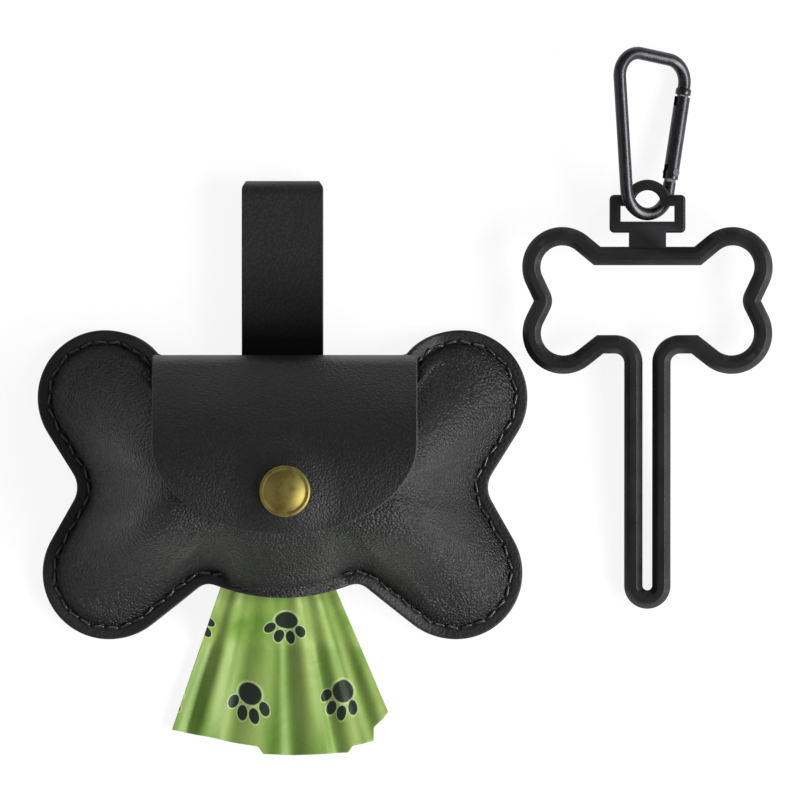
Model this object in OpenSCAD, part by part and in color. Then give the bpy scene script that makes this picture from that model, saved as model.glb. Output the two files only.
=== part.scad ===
// Bone-shaped leather pouch for a roll of waste bags, with a separate bag
// carrier on a small spring-gate hook. The set lies flat on a table.
// Millimetres. +Z is up, +Y is the pouch's top edge, origin on the table
// under the middle of the whole set.

/* [Pouch] */
// Height of the pouch's middle above the origin, along Y
pouch_y = -19; // [-25:0.5:-15]
// Distance of the pouch's middle from the origin, to the left
pouch_left = 30.6; // [28:0.1:36]
// Leather thickness
leather_t = 1.5; // [1:0.1:2]
// Half distance between the upper lobes' centres
lobe_up_x = 44.35; // [43:0.05:48]
// Height of the upper lobes' centres
lobe_up_y = 19.6; // [18.5:0.1:20.5]
// Radius of the upper lobes
lobe_up_r = 16.9; // [16:0.1:17]
// Half distance between the lower lobes' centres
lobe_low_x = 43.35; // [42:0.05:47]
// Height of the lower lobes' centres
lobe_low_y = -24.2; // [-25:0.1:-23.5]
// Radius of the lower lobes
lobe_low_r = 16.65; // [15:0.1:17]
// Radius of the hollow at the waist, between two lobes
waist_r = 6.6; // [5:0.1:8]
// Half width of the waist
waist_half = 51.4; // [50:0.1:52]
// Height of the waist
waist_y = -2.9; // [-4:0.1:-2]
// Height of the straight top edge, where the flap is folded
top_y = 30.25; // [29.5:0.05:31.5]
// Setback of the front panel's top edge from the fold
mouth_setback = 2.25; // [2:0.05:3]
// Radius of the notches beside the top edge
notch_r = 4; // [3:0.1:4.5]
// Half width of the lower mouth
mouth_half = 18.5; // [17:0.1:19]
// Height of the lower mouth's corners
mouth_y = -27; // [-28:0.1:-26.5]
// Lowest point of the lower mouth's curved lip
lip_y = -30.5; // [-31:0.1:-30]
// Radius of the lower mouth's corners
mouth_corner_r = 4.5; // [4:0.1:5]
// Distance of the stitched seam from the edge
seam_inset = 3; // [2:0.1:4]

/* [Flap] */
// Half width of the flap
flap_half = 32.8; // [28:0.1:34]
// How far the flap's middle lies right of the pouch's middle
flap_x = 0.6; // [0:0.1:1]
// Height at which the flap's sides start to curve in
flap_shoulder_y = 8; // [4:0.5:12]
// Lowest point of the flap
flap_tip_y = -14; // [-18:0.1:-12]
// Free height under the flap, away from the snap
flap_gap = 0.7; // [0.6:0.1:1]

/* [Snaps] */
// Diameter of the visible brass caps
cap_d = 12.7; // [11:0.1:15]
// Height of the front cap's dome
cap_h = 2.4; // [1.8:0.1:3]
// Height of the rear cap, which lies on the table
rear_cap_h = 1.5; // [1.2:0.1:2]
// Diameter of the stud's and the socket's flanges
snap_flange_d = 9; // [8:0.1:11]
// Diameter of the stud at its foot
stud_d = 5.6; // [5:0.1:6]
// Height of the stud
stud_h = 1.1; // [0.8:0.1:1.3]
// Height of the socket ring
socket_h = 1.25; // [1.2:0.05:1.6]
// Diameter of the posts
post_d = 3.2; // [2.6:0.1:3.6]
// Place of the front snap across the pouch
snap_x = 0.7; // [-2:0.1:2]
// Height of the front snap
snap_y = -3.7; // [-6:0.1:0]
// Height of the strap's snap behind the pouch
strap_snap_y = 16; // [15:0.5:18]

/* [Strap] */
// Width of the strap
strap_w = 20; // [16:0.5:26]
// Length of the strap beyond the pouch's top edge
strap_reach = 43.5; // [35:0.5:50]
// Free height inside the strap's loop
loop_gap = 5; // [4.6:0.1:6]
// Half length of the strap's end beyond its snap
strap_end = 9; // [8:0.1:10]

/* [Bag roll] */
// Diameter of a full roll
roll_d = 24; // [20:0.5:25]
// Length of the roll
roll_len = 57; // [50:0.5:58]
// Height of the roll's axis along the pouch
roll_y = -3; // [-4:0.5:-2]
// Outer diameter of the card core
core_d = 12; // [10:0.5:14]
// Wall of the card core
core_wall = 1; // [0.8:0.1:1.5]
// Free height between roll and front panel
roll_headroom = 1.4; // [1:0.1:2]

/* [Leading bag] */
// Thickness that stands for the film's folded layers
film_t = 0.35; // [0.3:0.05:0.6]
// Half width of the bag where it leaves the mouth
film_mouth_half = 14; // [12:0.5:15]
// Half width to which the bag widens at its hem's lowest point
film_hem_half = 30.4; // [20:0.1:32]
// Height of the hem's lowest point, below the pouch
film_hem_y = -69.8; // [-72:0.1:-55]
// Number of folds across the bag
film_folds = 5; // [4:1:9]
// Height of the folds at the hem
film_wave = 2.6; // [1:0.1:3]

/* [Bag carrier] */
// Distance of the carrier's middle from the origin, to the right
carrier_x = 60.55; // [58:0.05:66]
// Height of the carrier's bone above the origin
carrier_y = 25.1; // [24:0.05:26]
// Width of the moulded section
ring_w = 4.6; // [4:0.1:5]
// Height of the moulded section
ring_h = 4.4; // [4:0.1:5]
// Width of the section's sloped edges
ring_bevel = 1.5; // [0.8:0.1:1.6]
// Half distance between the ring's upper lobes
ring_up_x = 21.3; // [20:0.1:22]
// Height of the ring's upper lobes
ring_up_y = 8.45; // [8:0.05:9]
// Middle radius of the ring's upper lobes
ring_up_r = 7.7; // [7:0.1:7.9]
// Half distance between the ring's lower lobes
ring_low_x = 21; // [20:0.1:22]
// Height of the ring's lower lobes
ring_low_y = -8.1; // [-9:0.05:-8]
// Middle radius of the ring's lower lobes
ring_low_r = 7.9; // [7:0.1:8]
// Half width of the ring's waist circles
ring_waist_x = 28.6; // [28:0.1:29]
// Half width of the top bar, to its mitred corners
ring_bar_half = 12.55; // [12:0.05:13]
// Height of the top bar
ring_bar_y = 11.2; // [11:0.05:11.6]
// Half width of the lower bars, to their mitred corners
ring_low_half = 11.8; // [11.5:0.05:12.2]
// Height of the lower bars
ring_low_bar_y = -10.9; // [-11.3:0.05:-10.5]
// Middle radius of the flare from a lower bar into a leg
flare_r = 4.65; // [4.2:0.05:5]
// Half distance between the two legs' middles
leg_half = 3.5; // [3.2:0.05:3.9]
// Length of the tail below the ring's middle
tail_len = 77.1; // [60:0.1:90]

/* [Hanger] */
// Thickness of the hanger plate
plate_t = 1.8; // [1.6:0.05:1.9]
// Outer width of the hanger plate
plate_w = 19; // [18.5:0.1:20]
// Lower edge of the hanger plate above the ring's middle
plate_low_y = 17; // [16:0.1:17.5]
// Upper edge of the hanger plate above the ring's middle
plate_top_y = 26.5; // [26:0.1:26.8]
// Width of the plate's bars
plate_bar = 2.8; // [2.6:0.1:3]
// Inner radius of the eye
eye_r = 3.25; // [3.2:0.05:3.4]
// Outer radius of the eye
eye_out_r = 5.9; // [5.6:0.05:6]
// Height of the eye's centre above the ring's middle
eye_y = 24.4; // [24.2:0.05:24.6]
// Width of the neck between plate and ring
neck_w = 9.3; // [7:0.1:12]

/* [Spring-gate hook] */
// Diameter of the hook's rod
rod_d = 3.2; // [3:0.05:3.3]
// Angle at which the hook leans through the eye
lean = 36; // [35.5:0.5:38]
// Radius of the hook's small bend, in the eye
bend_r = 6.5; // [6.4:0.05:6.6]
// Radius of the hook's two large corners
corner_r = 5.6; // [5:0.1:6]
// Side place of the nose corner
nose_x = 5.9; // [5.5:0.1:6.5]
// Distance from the small bend to the nose corner
nose_y = 26.6; // [24:0.1:30]
// Side place of the spine's corner
spine_x = 3; // [2:0.1:3.5]
// Distance from the small bend to the spine's corner
spine_y = 28.1; // [27:0.1:32]
// Diameter of the gate
gate_d = 3.9; // [3.6:0.05:4]
// Distance from the small bend's middle to the gate's rivet
rivet_at = 5.2; // [2.8:0.1:6]
// Distance from the rivet to the gate's free end
gate_len = 19.2; // [18:0.1:20]
// Diameter of the rivet
rivet_d = 1.1; // [1:0.05:1.4]
// Thickness of the tongues that the gate's slots take
tongue_t = 1.4; // [1.2:0.05:1.5]

/* [Stitches] */
// Distance from one stitch to the next
stitch_pitch = 3.5; // [3:0.1:5]
// Length of a stitch that shows
stitch_len = 2.5; // [2:0.1:2.8]
// Thickness of the thread
thread_d = 0.8; // [0.5:0.1:0.9]

/* [Hidden] */

seat = 0.05;          // clearance between pieces that lie on each other
soft_gap = 0.3;       // clearance between soft pieces and what they rest on
through = 1;          // length by which a cut runs past a face
tiny = 1e-9;          // keeps a division away from zero
arc_step = 16;        // degrees between the points of a large arc
small_step = 30;      // degrees between the points of a small arc
small_r = 8;          // arcs below this radius are small
rod_step = 15;        // degrees between the rings of a bent rod
disc_fn = 32;         // smoothness of round pieces
cap_fn = 48;          // smoothness of the visible caps

// ---- outlines: a closed run of circles joined by their common tangents ----
// A circle is [x, y, radius, side]: side 1 turns left, side -1 turns right,
// and radius 0 is a sharp corner. Stations are [x, y, heading, stretch, circle].
function heading(a, b) =
    let (dx = b[0] - a[0], dy = b[1] - a[1])
    atan2(dy, dx) - asin((b[2] * b[3] - a[2] * a[3]) / norm([dx, dy]));
function turn(a, b, side) =
    side > 0 ? (b - a + 720) % 360 : -((a - b + 720) % 360);
function signed_turn(a, b) = (b - a + 900) % 360 - 180;
function on_circle(c, h) = [c[0] + c[2] * c[3] * sin(h), c[1] - c[2] * c[3] * cos(h)];
function circle_stations(c, a, b, i, step) =
    c[2] == 0
        ? let (w = signed_turn(a, b)) [[c[0], c[1], a + w / 2, 1 / cos(w / 2), i]]
        : let (w = turn(a, b, c[3]), n = max(2, ceil(abs(w) / step)))
          [for (k = [0:n])
              let (h = a + w * k / n, p = on_circle(c, h)) [p[0], p[1], h, 1, i]];
function belt(cs, step, fine) =
    let (n = len(cs))
    [for (i = [0:n - 1])
        let (before = cs[(i + n - 1) % n], here = cs[i], after = cs[(i + 1) % n])
        each circle_stations(here, heading(before, here), heading(here, after), i,
            here[2] < small_r ? fine : step)];
function offset_point(s, d) = [s[0] + d * s[3] * sin(s[2]), s[1] - d * s[3] * cos(s[2])];
function mirrored(cs) = [for (i = [len(cs) - 1:-1:0])
    let (c = cs[i]) [-c[0], c[1], c[2], c[3]]];

// ---- closed tube with a many-sided section, swept along stations ----
module ring_sweep(stations, section) {
    n = len(stations);
    m = len(section);
    points = [for (s = stations, q = section)
        let (p = offset_point(s, q[0])) [p[0], p[1], q[1]]];
    faces = [for (i = [0:n - 1], j = [0:m - 1])
        let (a = i * m + j, b = i * m + (j + 1) % m,
             c = (i + 1) % n * m + (j + 1) % m, d = (i + 1) % n * m + j)
        each [[a, c, b], [a, d, c]]];
    polyhedron(points, faces);
}
// ---- round rod along stations, with flat ends ----
rod_sides = 12;
module rod_sweep(stations, r, sides = rod_sides) {
    n = len(stations);
    points = [for (s = stations, j = [0:sides - 1])
        let (w = 360 * j / sides, p = offset_point(s, r * cos(w))) [p[0], p[1], r * sin(w)]];
    skin = [for (i = [0:n - 2], j = [0:sides - 1])
        let (a = i * sides + j, b = i * sides + (j + 1) % sides, c = b + sides, d = a + sides)
        each [[a, b, c], [a, c, d]]];
    ends = [[for (j = [sides - 1:-1:0]) j], [for (j = [0:sides - 1]) (n - 1) * sides + j]];
    polyhedron(points, concat(skin, ends));
}
function bevelled(w, h, b, t) =
    [[-w / 2 + b, 0], [-w / 2, t], [-w / 2, h - t], [-w / 2 + b, h],
     [w / 2 - b, h], [w / 2, h - t], [w / 2, t], [w / 2 - b, 0]];

// ---- sheet of leather or film: a grid of middle points with a thickness ----
function unit(v) = v / max(norm(v), tiny);
function grid_normal(g, i, j) =
    let (n = len(g) - 1, m = len(g[0]) - 1,
         a = g[min(i + 1, n)][j] - g[max(i - 1, 0)][j],
         b = g[i][min(j + 1, m)] - g[i][max(j - 1, 0)])
    unit(cross(a, b));
module sheet(g, t) {
    n = len(g);
    m = len(g[0]);
    upper = [for (i = [0:n - 1], j = [0:m - 1]) g[i][j] + grid_normal(g, i, j) * t / 2];
    lower = [for (i = [0:n - 1], j = [0:m - 1]) g[i][j] - grid_normal(g, i, j) * t / 2];
    k = n * m;
    skin = [for (i = [0:n - 2], j = [0:m - 2])
        let (a = i * m + j, b = a + m, c = b + 1, d = a + 1)
        each [[a, c, b], [a, d, c], [k + a, k + b, k + c], [k + a, k + c, k + d]]];
    sides = [for (j = [0:m - 2])
        each [[j, k + j, k + j + 1], [j, k + j + 1, j + 1],
              [(n - 1) * m + j, (n - 1) * m + j + 1, k + (n - 1) * m + j + 1],
              [(n - 1) * m + j, k + (n - 1) * m + j + 1, k + (n - 1) * m + j]]];
    ends = [for (i = [0:n - 2])
        let (a = i * m, b = a + m, c = a + m - 1, d = b + m - 1)
        each [[a, b, k + b], [a, k + b, k + a], [c, k + d, d], [c, k + c, k + d]]];
    polyhedron(concat(upper, lower), concat(skin, sides, ends));
}

// ---- pouch outline and surfaces, in the pouch's own frame ----
left_outline = [
    [-lobe_up_x, lobe_up_y, lobe_up_r, 1],
    [-waist_half - waist_r, waist_y, waist_r, -1],
    [-lobe_low_x, lobe_low_y, lobe_low_r, 1],
    [-mouth_half, mouth_y - mouth_corner_r, mouth_corner_r, -1]];
lip_reach = mouth_half - 1;   // half length of the lip's curve
lip_sag = mouth_y - lip_y;
lip_r = (lip_reach * lip_reach + lip_sag * lip_sag) / (2 * lip_sag);
function notch_x(y) =
    let (dy = y + notch_r - lobe_up_y, reach = lobe_up_r + notch_r + seat)
    lobe_up_x - sqrt(reach * reach - dy * dy);
function pouch_outline(y) = concat(
    [[-notch_x(y), y + notch_r, notch_r, -1]], left_outline,
    [[0, lip_y + lip_r, lip_r, 1]],
    mirrored(left_outline), [[notch_x(y), y + notch_r, notch_r, -1]],
    [for (k = [2:-1:-2]) [k * top_step, y, 0, 1]]);
top_step = 12;        // distance between points along the straight top edge
front_top_y = top_y - mouth_setback;
back_stations = belt(pouch_outline(top_y), arc_step, small_step);
front_stations = belt(pouch_outline(front_top_y), arc_step, small_step);
last_sewn = len(left_outline);   // circles 1 to 4 of an outline carry the left seam
function sewn(s) = (s[4] >= 1 && s[4] <= last_sewn)
    || (s[4] >= last_sewn + 2 && s[4] <= 2 * last_sewn + 1);
seam_left = [for (s = front_stations)
    if (s[4] >= 1 && s[4] <= last_sewn) offset_point(s, -seam_inset)];
pouch_core = [snap_x, snap_y];

function smooth(u) = let (w = min(1, max(0, u))) w * w * (3 - 2 * w);
function mix(a, b, w) = a + (b - a) * w;
function to_segment(p, a, b) =
    let (d = b - a, w = min(1, max(0, (p - a) * d / max(d * d, tiny)))) norm(p - a - d * w);
function seam_distance(p) =
    let (q = [-abs(p[0]), p[1]])
    min([for (i = [0:len(seam_left) - 2]) to_segment(q, seam_left[i], seam_left[i + 1])]);

// Stack behind the pouch: cap, tab, socket and stud, root, back panel
stud_flange = 0.4;    // thickness of a stud's flange
snap_play = 0.15;     // play between a closed socket and the stud's flange
snap_gap = 2 * seat + stud_flange + snap_play + socket_h;
tab_z = rear_cap_h;
root_z = tab_z + leather_t + snap_gap;
back_z = root_z + leather_t + seat;
strap_flat = strap_w / 2 + 5;   // half width over which the strap lifts the back panel
back_droop = 27;      // width over which the back panel comes down to the table
fold_flat = 26;       // half width over which the fold stays level
fold_fall = 14;       // width over which its ends come down
fold_zone = 14;       // length below the fold that comes up with it
function back_under(x, y) =
    let (base = back_z * (1 - smooth((abs(x) - strap_flat) / back_droop)),
         near = smooth((y - top_y + fold_zone) / fold_zone)
                * (1 - smooth((abs(x) - fold_flat) / fold_fall)))
    mix(base, back_z, near);
function rim_z(x, y) = back_under(x, y) + 2 * leather_t + 2 * seat;

// Front panel's outer surface
roll_z = back_z + leather_t + soft_gap + roll_d / 2;
crown_z = roll_z + roll_d / 2 + roll_headroom + leather_t;
fall_up = 0.6;        // share of the height lost at the upper mouth
fall_low = 0.55;      // share of the height lost at the lower mouth
mouth_span = 28;      // distance from the roll over which it is lost
seam_span = 27;       // distance from the seam at which the full height is reached
seam_slope = 0.15;    // share of the rise that is a straight slope from the seam
crown_flat = roll_d / 2;   // half height of the full roll section
crown_fall = 16;      // distance over which the roll's push fades
roll_end = 3;         // the full height reaches this far past the roll's ends
tuck = 1.9;           // how far the front panel's top edge dips under the flap
tuck_zone = 6;        // length over which it dips
snap_rest = 0.5;      // level ring round a snap's cap
snap_blend = 4.5;     // width over which the level spot runs out
function lengthwise(v) = 1 - (v > 0 ? fall_up : fall_low) * pow(v / mouth_span, 2);
function seam_rise(p) =
    let (u = min(1, seam_distance(p) / seam_span)) mix(smooth(u), u, seam_slope);
function roll_push(x, v) =
    (1 - smooth((abs(x) - roll_len / 2 - roll_end) / crown_fall))
    * (1 - smooth((abs(v) - crown_flat) / crown_fall));
function snap_flat(x, y, rest = snap_rest) =
    1 - smooth((norm([x - snap_x, y - snap_y]) - cap_d / 2 - rest) / snap_blend);
function drape(x, y) =
    let (v = y - roll_y, rim = rim_z(x, y),
         rise = 1 - (1 - seam_rise([x, y])) * (1 - roll_push(x, v)))
    rim + (crown_z - rim) * rise * lengthwise(v);
snap_z = drape(snap_x, snap_y);
function front_top(x, y) =
    mix(drape(x, y), snap_z, snap_flat(x, y))
    - tuck * seam_rise([x, y]) * smooth((y - front_top_y + tuck_zone) / tuck_zone);

// A panel as rings of points round the snap: some follow the seam, as shares of
// its distance, and some are round
front_shares = [1, 0.84, 0.68, 0.54];
back_shares = [1, 0.8, 0.55, 0.3];
bore_d = post_d + 2 * seat;
snap_rings = [cap_d / 2 + snap_rest + snap_blend, cap_d / 2 + snap_rest, bore_d / 2 + seat];
function panel_points(stations, shares, rings) =
    let (seam = [for (s = stations) offset_point(s, -seam_inset) - pouch_core])
    concat(
        [for (s = stations) [s[0], s[1]]],
        [for (w = shares, p = seam) pouch_core + p * w],
        [for (r = rings, p = seam) pouch_core + unit(p) * r]);
slope_step = 0.4;     // half length over which a slope is measured
function slope_normal(x, y) =
    let (e = slope_step)
    unit([front_top(x - e, y) - front_top(x + e, y),
          front_top(x, y - e) - front_top(x, y + e), 2 * e]);
// n points in each ring; the innermost ring is the wall of a hole, or a closed middle
module panel(n, upper, lower, open) {
    k = len(upper);
    last = k - n;
    skin = [for (j = [0:k / n - 2], i = [0:n - 1])
        let (a = j * n + i, b = j * n + (i + 1) % n, c = b + n, d = a + n)
        each [[a, c, b], [a, d, c], [k + a, k + b, k + c], [k + a, k + c, k + d]]];
    edge = [for (i = [0:n - 1])
        let (b = (i + 1) % n) each [[i, b, k + b], [i, k + b, k + i]]];
    middle = [for (i = [0:n - 1])
        let (a = last + i, b = last + (i + 1) % n)
        each open ? [[b, a, k + a], [b, k + a, k + b]]
                  : [[a, 2 * k, b], [k + a, k + b, 2 * k + 1]]];
    hubs = open ? [] : [mean(upper, last), mean(lower, last)];
    polyhedron(concat(upper, lower, hubs), concat(skin, edge, middle));
}
function mean(p, from) =
    let (part = [for (i = [from:len(p) - 1]) p[i]], ones = [for (q = part) 1])
    ones * part / len(part);
module in_pouch() {
    translate([-pouch_left, pouch_y, 0]) children();
}
module disc(d, h, z = 0) {
    translate([0, 0, z]) cylinder(d = d, h = h, $fn = disc_fn);
}
module hole(x, y, d) {
    translate([x, y, -through]) cylinder(d = d, h = crown_z + cap_d, $fn = disc_fn);
}

// ---- pouch panels ----
module back_panel() {
    pts = panel_points(back_stations, back_shares, []);
    color("#202020") in_pouch() difference() {
        panel(len(back_stations),
            [for (p = pts) [p[0], p[1], back_under(p[0], p[1]) + leather_t]],
            [for (p = pts) [p[0], p[1], back_under(p[0], p[1])]], false);
        hole(0, strap_snap_y, bore_d);
    }
}

module front_panel() {
    pts = panel_points(front_stations, front_shares, snap_rings);
    n = len(front_stations);
    flat = [for (i = [0:len(pts) - 1]) i < 2 * n && sewn(front_stations[i % n])];
    upper = [for (i = [0:len(pts) - 1])
        let (p = pts[i]) [p[0], p[1], flat[i] ? rim_z(p[0], p[1]) : front_top(p[0], p[1])]];
    lower = [for (i = [0:len(pts) - 1])
        let (p = pts[i], u = flat[i] || i < n ? [0, 0, 1] : slope_normal(p[0], p[1]))
        upper[i] - u * leather_t];
    color("#262626") in_pouch() panel(n, upper, lower, true);
}

// ---- flap ----
snap_stack = 2 * seat + stud_flange + soft_gap + socket_h;
flap_droop = 0.02;    // share of the height that the flap's sides lose
flap_rest = 2.5;      // level ring of the flap round its snap's cap
flap_flat_y = front_top_y - 1;   // from here up the flap turns down to the fold
fold_half = notch_x(top_y) - seat;   // half width of the fold
function flap_low_y(w) =
    flap_shoulder_y - (flap_shoulder_y - flap_tip_y) * cos(w);
function cover(x, y) =
    let (rim = rim_z(0, 0), v = y - roll_y)
    mix(rim + (crown_z - rim) * lengthwise(v) * (1 - flap_droop * pow(x / flap_half, 4)),
        snap_z, snap_flat(x, y, flap_rest));
function flap_middle(x, y) =
    cover(x, y) + mix(flap_gap, snap_stack, snap_flat(x, y, flap_rest)) + leather_t / 2;
function flap_bend(a, b, c, w) = a * (1 - w) * (1 - w) + b * 2 * w * (1 - w) + c * w * w;
flap_cols = 20;
flap_rows = 12;
bend_rows = 5;
function flap_column(w) =
    let (x = flap_x + flap_half * sin(w), xe = fold_half * sin(w), ye = top_y - leather_t / 2,
         za = flap_middle(x, flap_flat_y), ze = back_under(xe, ye) + leather_t + seat,
         slope = za - flap_middle(x, flap_flat_y - 1),
         a = [x, flap_flat_y, za], c = [xe, ye, ze],
         b = [xe, ye, za + slope * (ye - flap_flat_y)])
    concat(
        [for (j = [0:flap_rows])
            let (y = mix(flap_low_y(w), flap_flat_y, j / flap_rows)) [x, y, flap_middle(x, y)]],
        [for (j = [1:bend_rows]) flap_bend(a, b, c, j / bend_rows)]);
module flap() {
    color("#282828") in_pouch() difference() {
        sheet([for (i = [0:flap_cols]) flap_column(-90 + 180 * i / flap_cols)], leather_t);
        hole(snap_x, snap_y, bore_d);
    }
}

// ---- snaps ----
flap_snap_z = snap_z + snap_stack;    // underside of the flap at the snap
cap_edge = 0.9;       // height of a cap's upright edge
socket_play = 0.3;    // how much wider the socket's bore is than the stud
socket_floor = 0.2;   // thickness of the socket's closed side
stud_slope = 1;       // the stud narrows as fast as it rises, so it leaves at any angle
post_flange = 0.5;    // thickness of a post's flange
post_end = 0.2;       // how far a post reaches into its stud
module dome_cap(h, edge = cap_edge) {
    rise = h - edge;
    r = cap_d / 2;
    ball = (r * r + rise * rise) / (2 * rise);
    rotate_extrude($fn = cap_fn)
        polygon(concat([[0, 0], [r, 0]], arc(0, h - ball, ball, acos(r / ball), 90, 5)));
}
module socket() {
    difference() {
        disc(snap_flange_d, socket_h);
        disc(stud_d + socket_play, socket_h + through, socket_floor);
    }
}
module stud() {
    difference() {
        union() {
            disc(snap_flange_d, stud_flange);
            translate([0, 0, stud_flange])
                cylinder(d1 = stud_d, d2 = stud_d - 2 * stud_slope * stud_h, h = stud_h,
                    $fn = disc_fn);
        }
        disc(bore_d, through + stud_flange + post_end, -through);
    }
}
module post(leather) {
    disc(snap_flange_d, post_flange);
    disc(post_d, leather + 2 * seat + post_end, post_flange);
}

module flap_snap_cap() {
    color("#6b5f2c") in_pouch() translate([snap_x, snap_y, flap_snap_z + leather_t + seat]) {
        dome_cap(cap_h);
        disc(post_d, leather_t + seat, -leather_t - seat);
    }
}
module flap_snap_socket() {
    color("#8a7a40") in_pouch() translate([snap_x, snap_y, flap_snap_z - seat])
        mirror([0, 0, 1]) socket();
}
module pouch_snap_stud() {
    color("#8a7a40") in_pouch() translate([snap_x, snap_y, snap_z + seat]) stud();
}
module pouch_snap_post() {
    color("#8a7a40") in_pouch()
        translate([snap_x, snap_y, snap_z - leather_t - post_flange - seat]) post(leather_t);
}
module strap_snap_cap() {
    color("#6b5f2c") in_pouch() translate([0, strap_snap_y, rear_cap_h - seat]) {
        mirror([0, 0, 1]) dome_cap(rear_cap_h - seat);
        disc(post_d, leather_t);
    }
}
module strap_snap_socket() {
    color("#8a7a40") in_pouch() translate([0, strap_snap_y, tab_z + leather_t + seat]) socket();
}
module strap_snap_stud() {
    color("#8a7a40") in_pouch()
        translate([0, strap_snap_y, root_z - seat]) mirror([0, 0, 1]) stud();
}
module strap_snap_post() {
    color("#8a7a40") in_pouch()
        translate([0, strap_snap_y, back_z + leather_t + post_flange + seat])
            mirror([0, 0, 1]) post(2 * leather_t + seat);
}

// ---- seam thread: short bars on both faces of the rim ----
function path_lengths(p) = [for (i = 0, s = 0; i < len(p);
    s = s + (i + 1 < len(p) ? norm(p[i + 1] - p[i]) : 0), i = i + 1) s];
function at_length(p, l, s) =
    let (i = max([for (k = [0:len(p) - 2]) if (l[k] <= s) k]),
         w = (s - l[i]) / max(l[i + 1] - l[i], tiny))
    p[i] + (p[i + 1] - p[i]) * min(1, w);
thread_sink = 0.3;    // how deep a stitch lies in the leather
thread_fn = 6;        // sides of a thread
module stitches(side) {
    l = path_lengths(seam_left);
    count = floor((l[len(l) - 1] - stitch_len) / stitch_pitch);
    for (i = [0:count]) {
        a = at_length(seam_left, l, i * stitch_pitch);
        b = at_length(seam_left, l, i * stitch_pitch + stitch_len);
        m = (a + b) / 2;
        front_z = rim_z(m[0], m[1]) + thread_d / 2 - thread_sink;
        rear_z = max(thread_d / 2 + seat, back_under(m[0], m[1]) - thread_d / 2 + thread_sink);
        for (z = [front_z, rear_z])
            translate([side * m[0], m[1], z])
                rotate([0, 90, atan2(b[1] - a[1], side * (b[0] - a[0]))])
                    cylinder(d = thread_d, h = norm(b - a), center = true, $fn = thread_fn);
    }
}
module stitching_left() {
    color("#0c0c0c") in_pouch() stitches(1);
}
module stitching_right() {
    color("#0c0c0c") in_pouch() stitches(-1);
}

// ---- strap: one strip folded double behind the pouch, parted at its flex line ----
flex_y = top_y + 1;   // where the strap bends when the loop swings
flex_gap = 0.3;       // width of the parting there
far_y = top_y + strap_reach;
loop_top_z = 2 * leather_t + loop_gap;
loop_r = loop_top_z / 2;
module strip(profile, w) {
    rotate([90, 0, 90]) linear_extrude(w, center = true) polygon(profile);
}
function arc(cx, cy, r, a, b, n) = [for (k = [0:n])
    let (h = a + (b - a) * k / n) [cx + r * cos(h), cy + r * sin(h)]];
module leather_end(y, z, inner_y) {
    translate([0, 0, z]) linear_extrude(leather_t) {
        translate([-strap_w / 2, y + strap_end]) square([strap_w, inner_y - y - strap_end]);
        intersection() {
            translate([-strap_w / 2, y]) square([strap_w, strap_end]);
            translate([0, y + strap_w / 2]) circle(d = strap_w, $fn = disc_fn);
        }
    }
}
module strap_root() {
    color("#1c1c1c") in_pouch() difference() {
        leather_end(strap_snap_y - strap_end, root_z, flex_y);
        hole(0, strap_snap_y, bore_d);
    }
}
tab_steps = 6;        // straight steps in each curved stretch of the strap
tab_flat = 6.5;       // the tab stays level this far past its snap
settle = 16;          // and reaches the table after this length
function tab_line(y) =
    tab_z * (1 - smooth((y - strap_snap_y - tab_flat) / settle));
module strap_tab() {
    n = tab_steps;
    ys = [for (k = [0:n]) mix(strap_snap_y + tab_flat, flex_y, k / n)];
    color("#1c1c1c") in_pouch() difference() {
        union() {
            leather_end(strap_snap_y - strap_end, tab_z, strap_snap_y + tab_flat);
            strip(concat([for (y = ys) [y, tab_line(y)]],
                [for (k = [n:-1:0]) [ys[k], tab_line(ys[k]) + leather_t]]), strap_w);
        }
        hole(0, strap_snap_y, bore_d);
    }
}
loop_rise = 12;       // length over which the loop's upper leg climbs to the bend
loop_corner = 1.5;    // radius of the loop's far corners
bend_steps = 16;      // straight steps in the strap's bend
module strap_loop() {
    start = flex_y + flex_gap;
    n = tab_steps;
    yc = far_y - loop_r;
    ys = [for (k = [0:n]) mix(start, start + loop_rise, k / n)];
    ts = [for (k = [0:n]) mix(start, strap_snap_y + tab_flat + settle, k / n)];
    lift = loop_top_z - leather_t - root_z;
    under = [for (y = ys) [y, root_z + lift * smooth((y - start) / loop_rise)]];
    outer = concat([for (y = ts) [y, tab_line(y)]],
        arc(yc, loop_r, loop_r, -90, 90, bend_steps),
        [for (k = [n:-1:0]) [under[k][0], under[k][1] + leather_t]]);
    inner = concat(under, arc(yc, loop_r, loop_r - leather_t, 90, -90, bend_steps),
        [for (k = [n:-1:0]) [ts[k], tab_line(ts[k]) + leather_t]]);
    length = far_y - start;
    color("#323232") in_pouch() intersection() {
        strip(concat(outer, inner), strap_w);
        translate([-strap_w / 2, start, 0]) linear_extrude(2 * loop_top_z) {
            square([strap_w, length - loop_corner]);
            translate([loop_corner, 0]) square([strap_w - 2 * loop_corner, length]);
            for (x = [loop_corner, strap_w - loop_corner])
                translate([x, length - loop_corner]) circle(r = loop_corner, $fn = disc_fn);
        }
    }
}

// ---- bag roll and leading bag ----
module along_roll() {
    in_pouch() translate([0, roll_y, roll_z]) rotate([0, 90, 0]) children();
}
module roll_core() {
    color("#b59b74") along_roll() difference() {
        cylinder(d = core_d, h = roll_len, center = true, $fn = disc_fn);
        cylinder(d = core_d - 2 * core_wall, h = roll_len + 2 * through, center = true,
            $fn = disc_fn);
    }
}
module bag_roll() {
    color("#7da33f") along_roll() difference() {
        cylinder(d = roll_d, h = roll_len, center = true, $fn = 2 * disc_fn);
        cylinder(d = core_d + 2 * seat, h = roll_len + 2 * through, center = true,
            $fn = disc_fn);
    }
}

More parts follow.
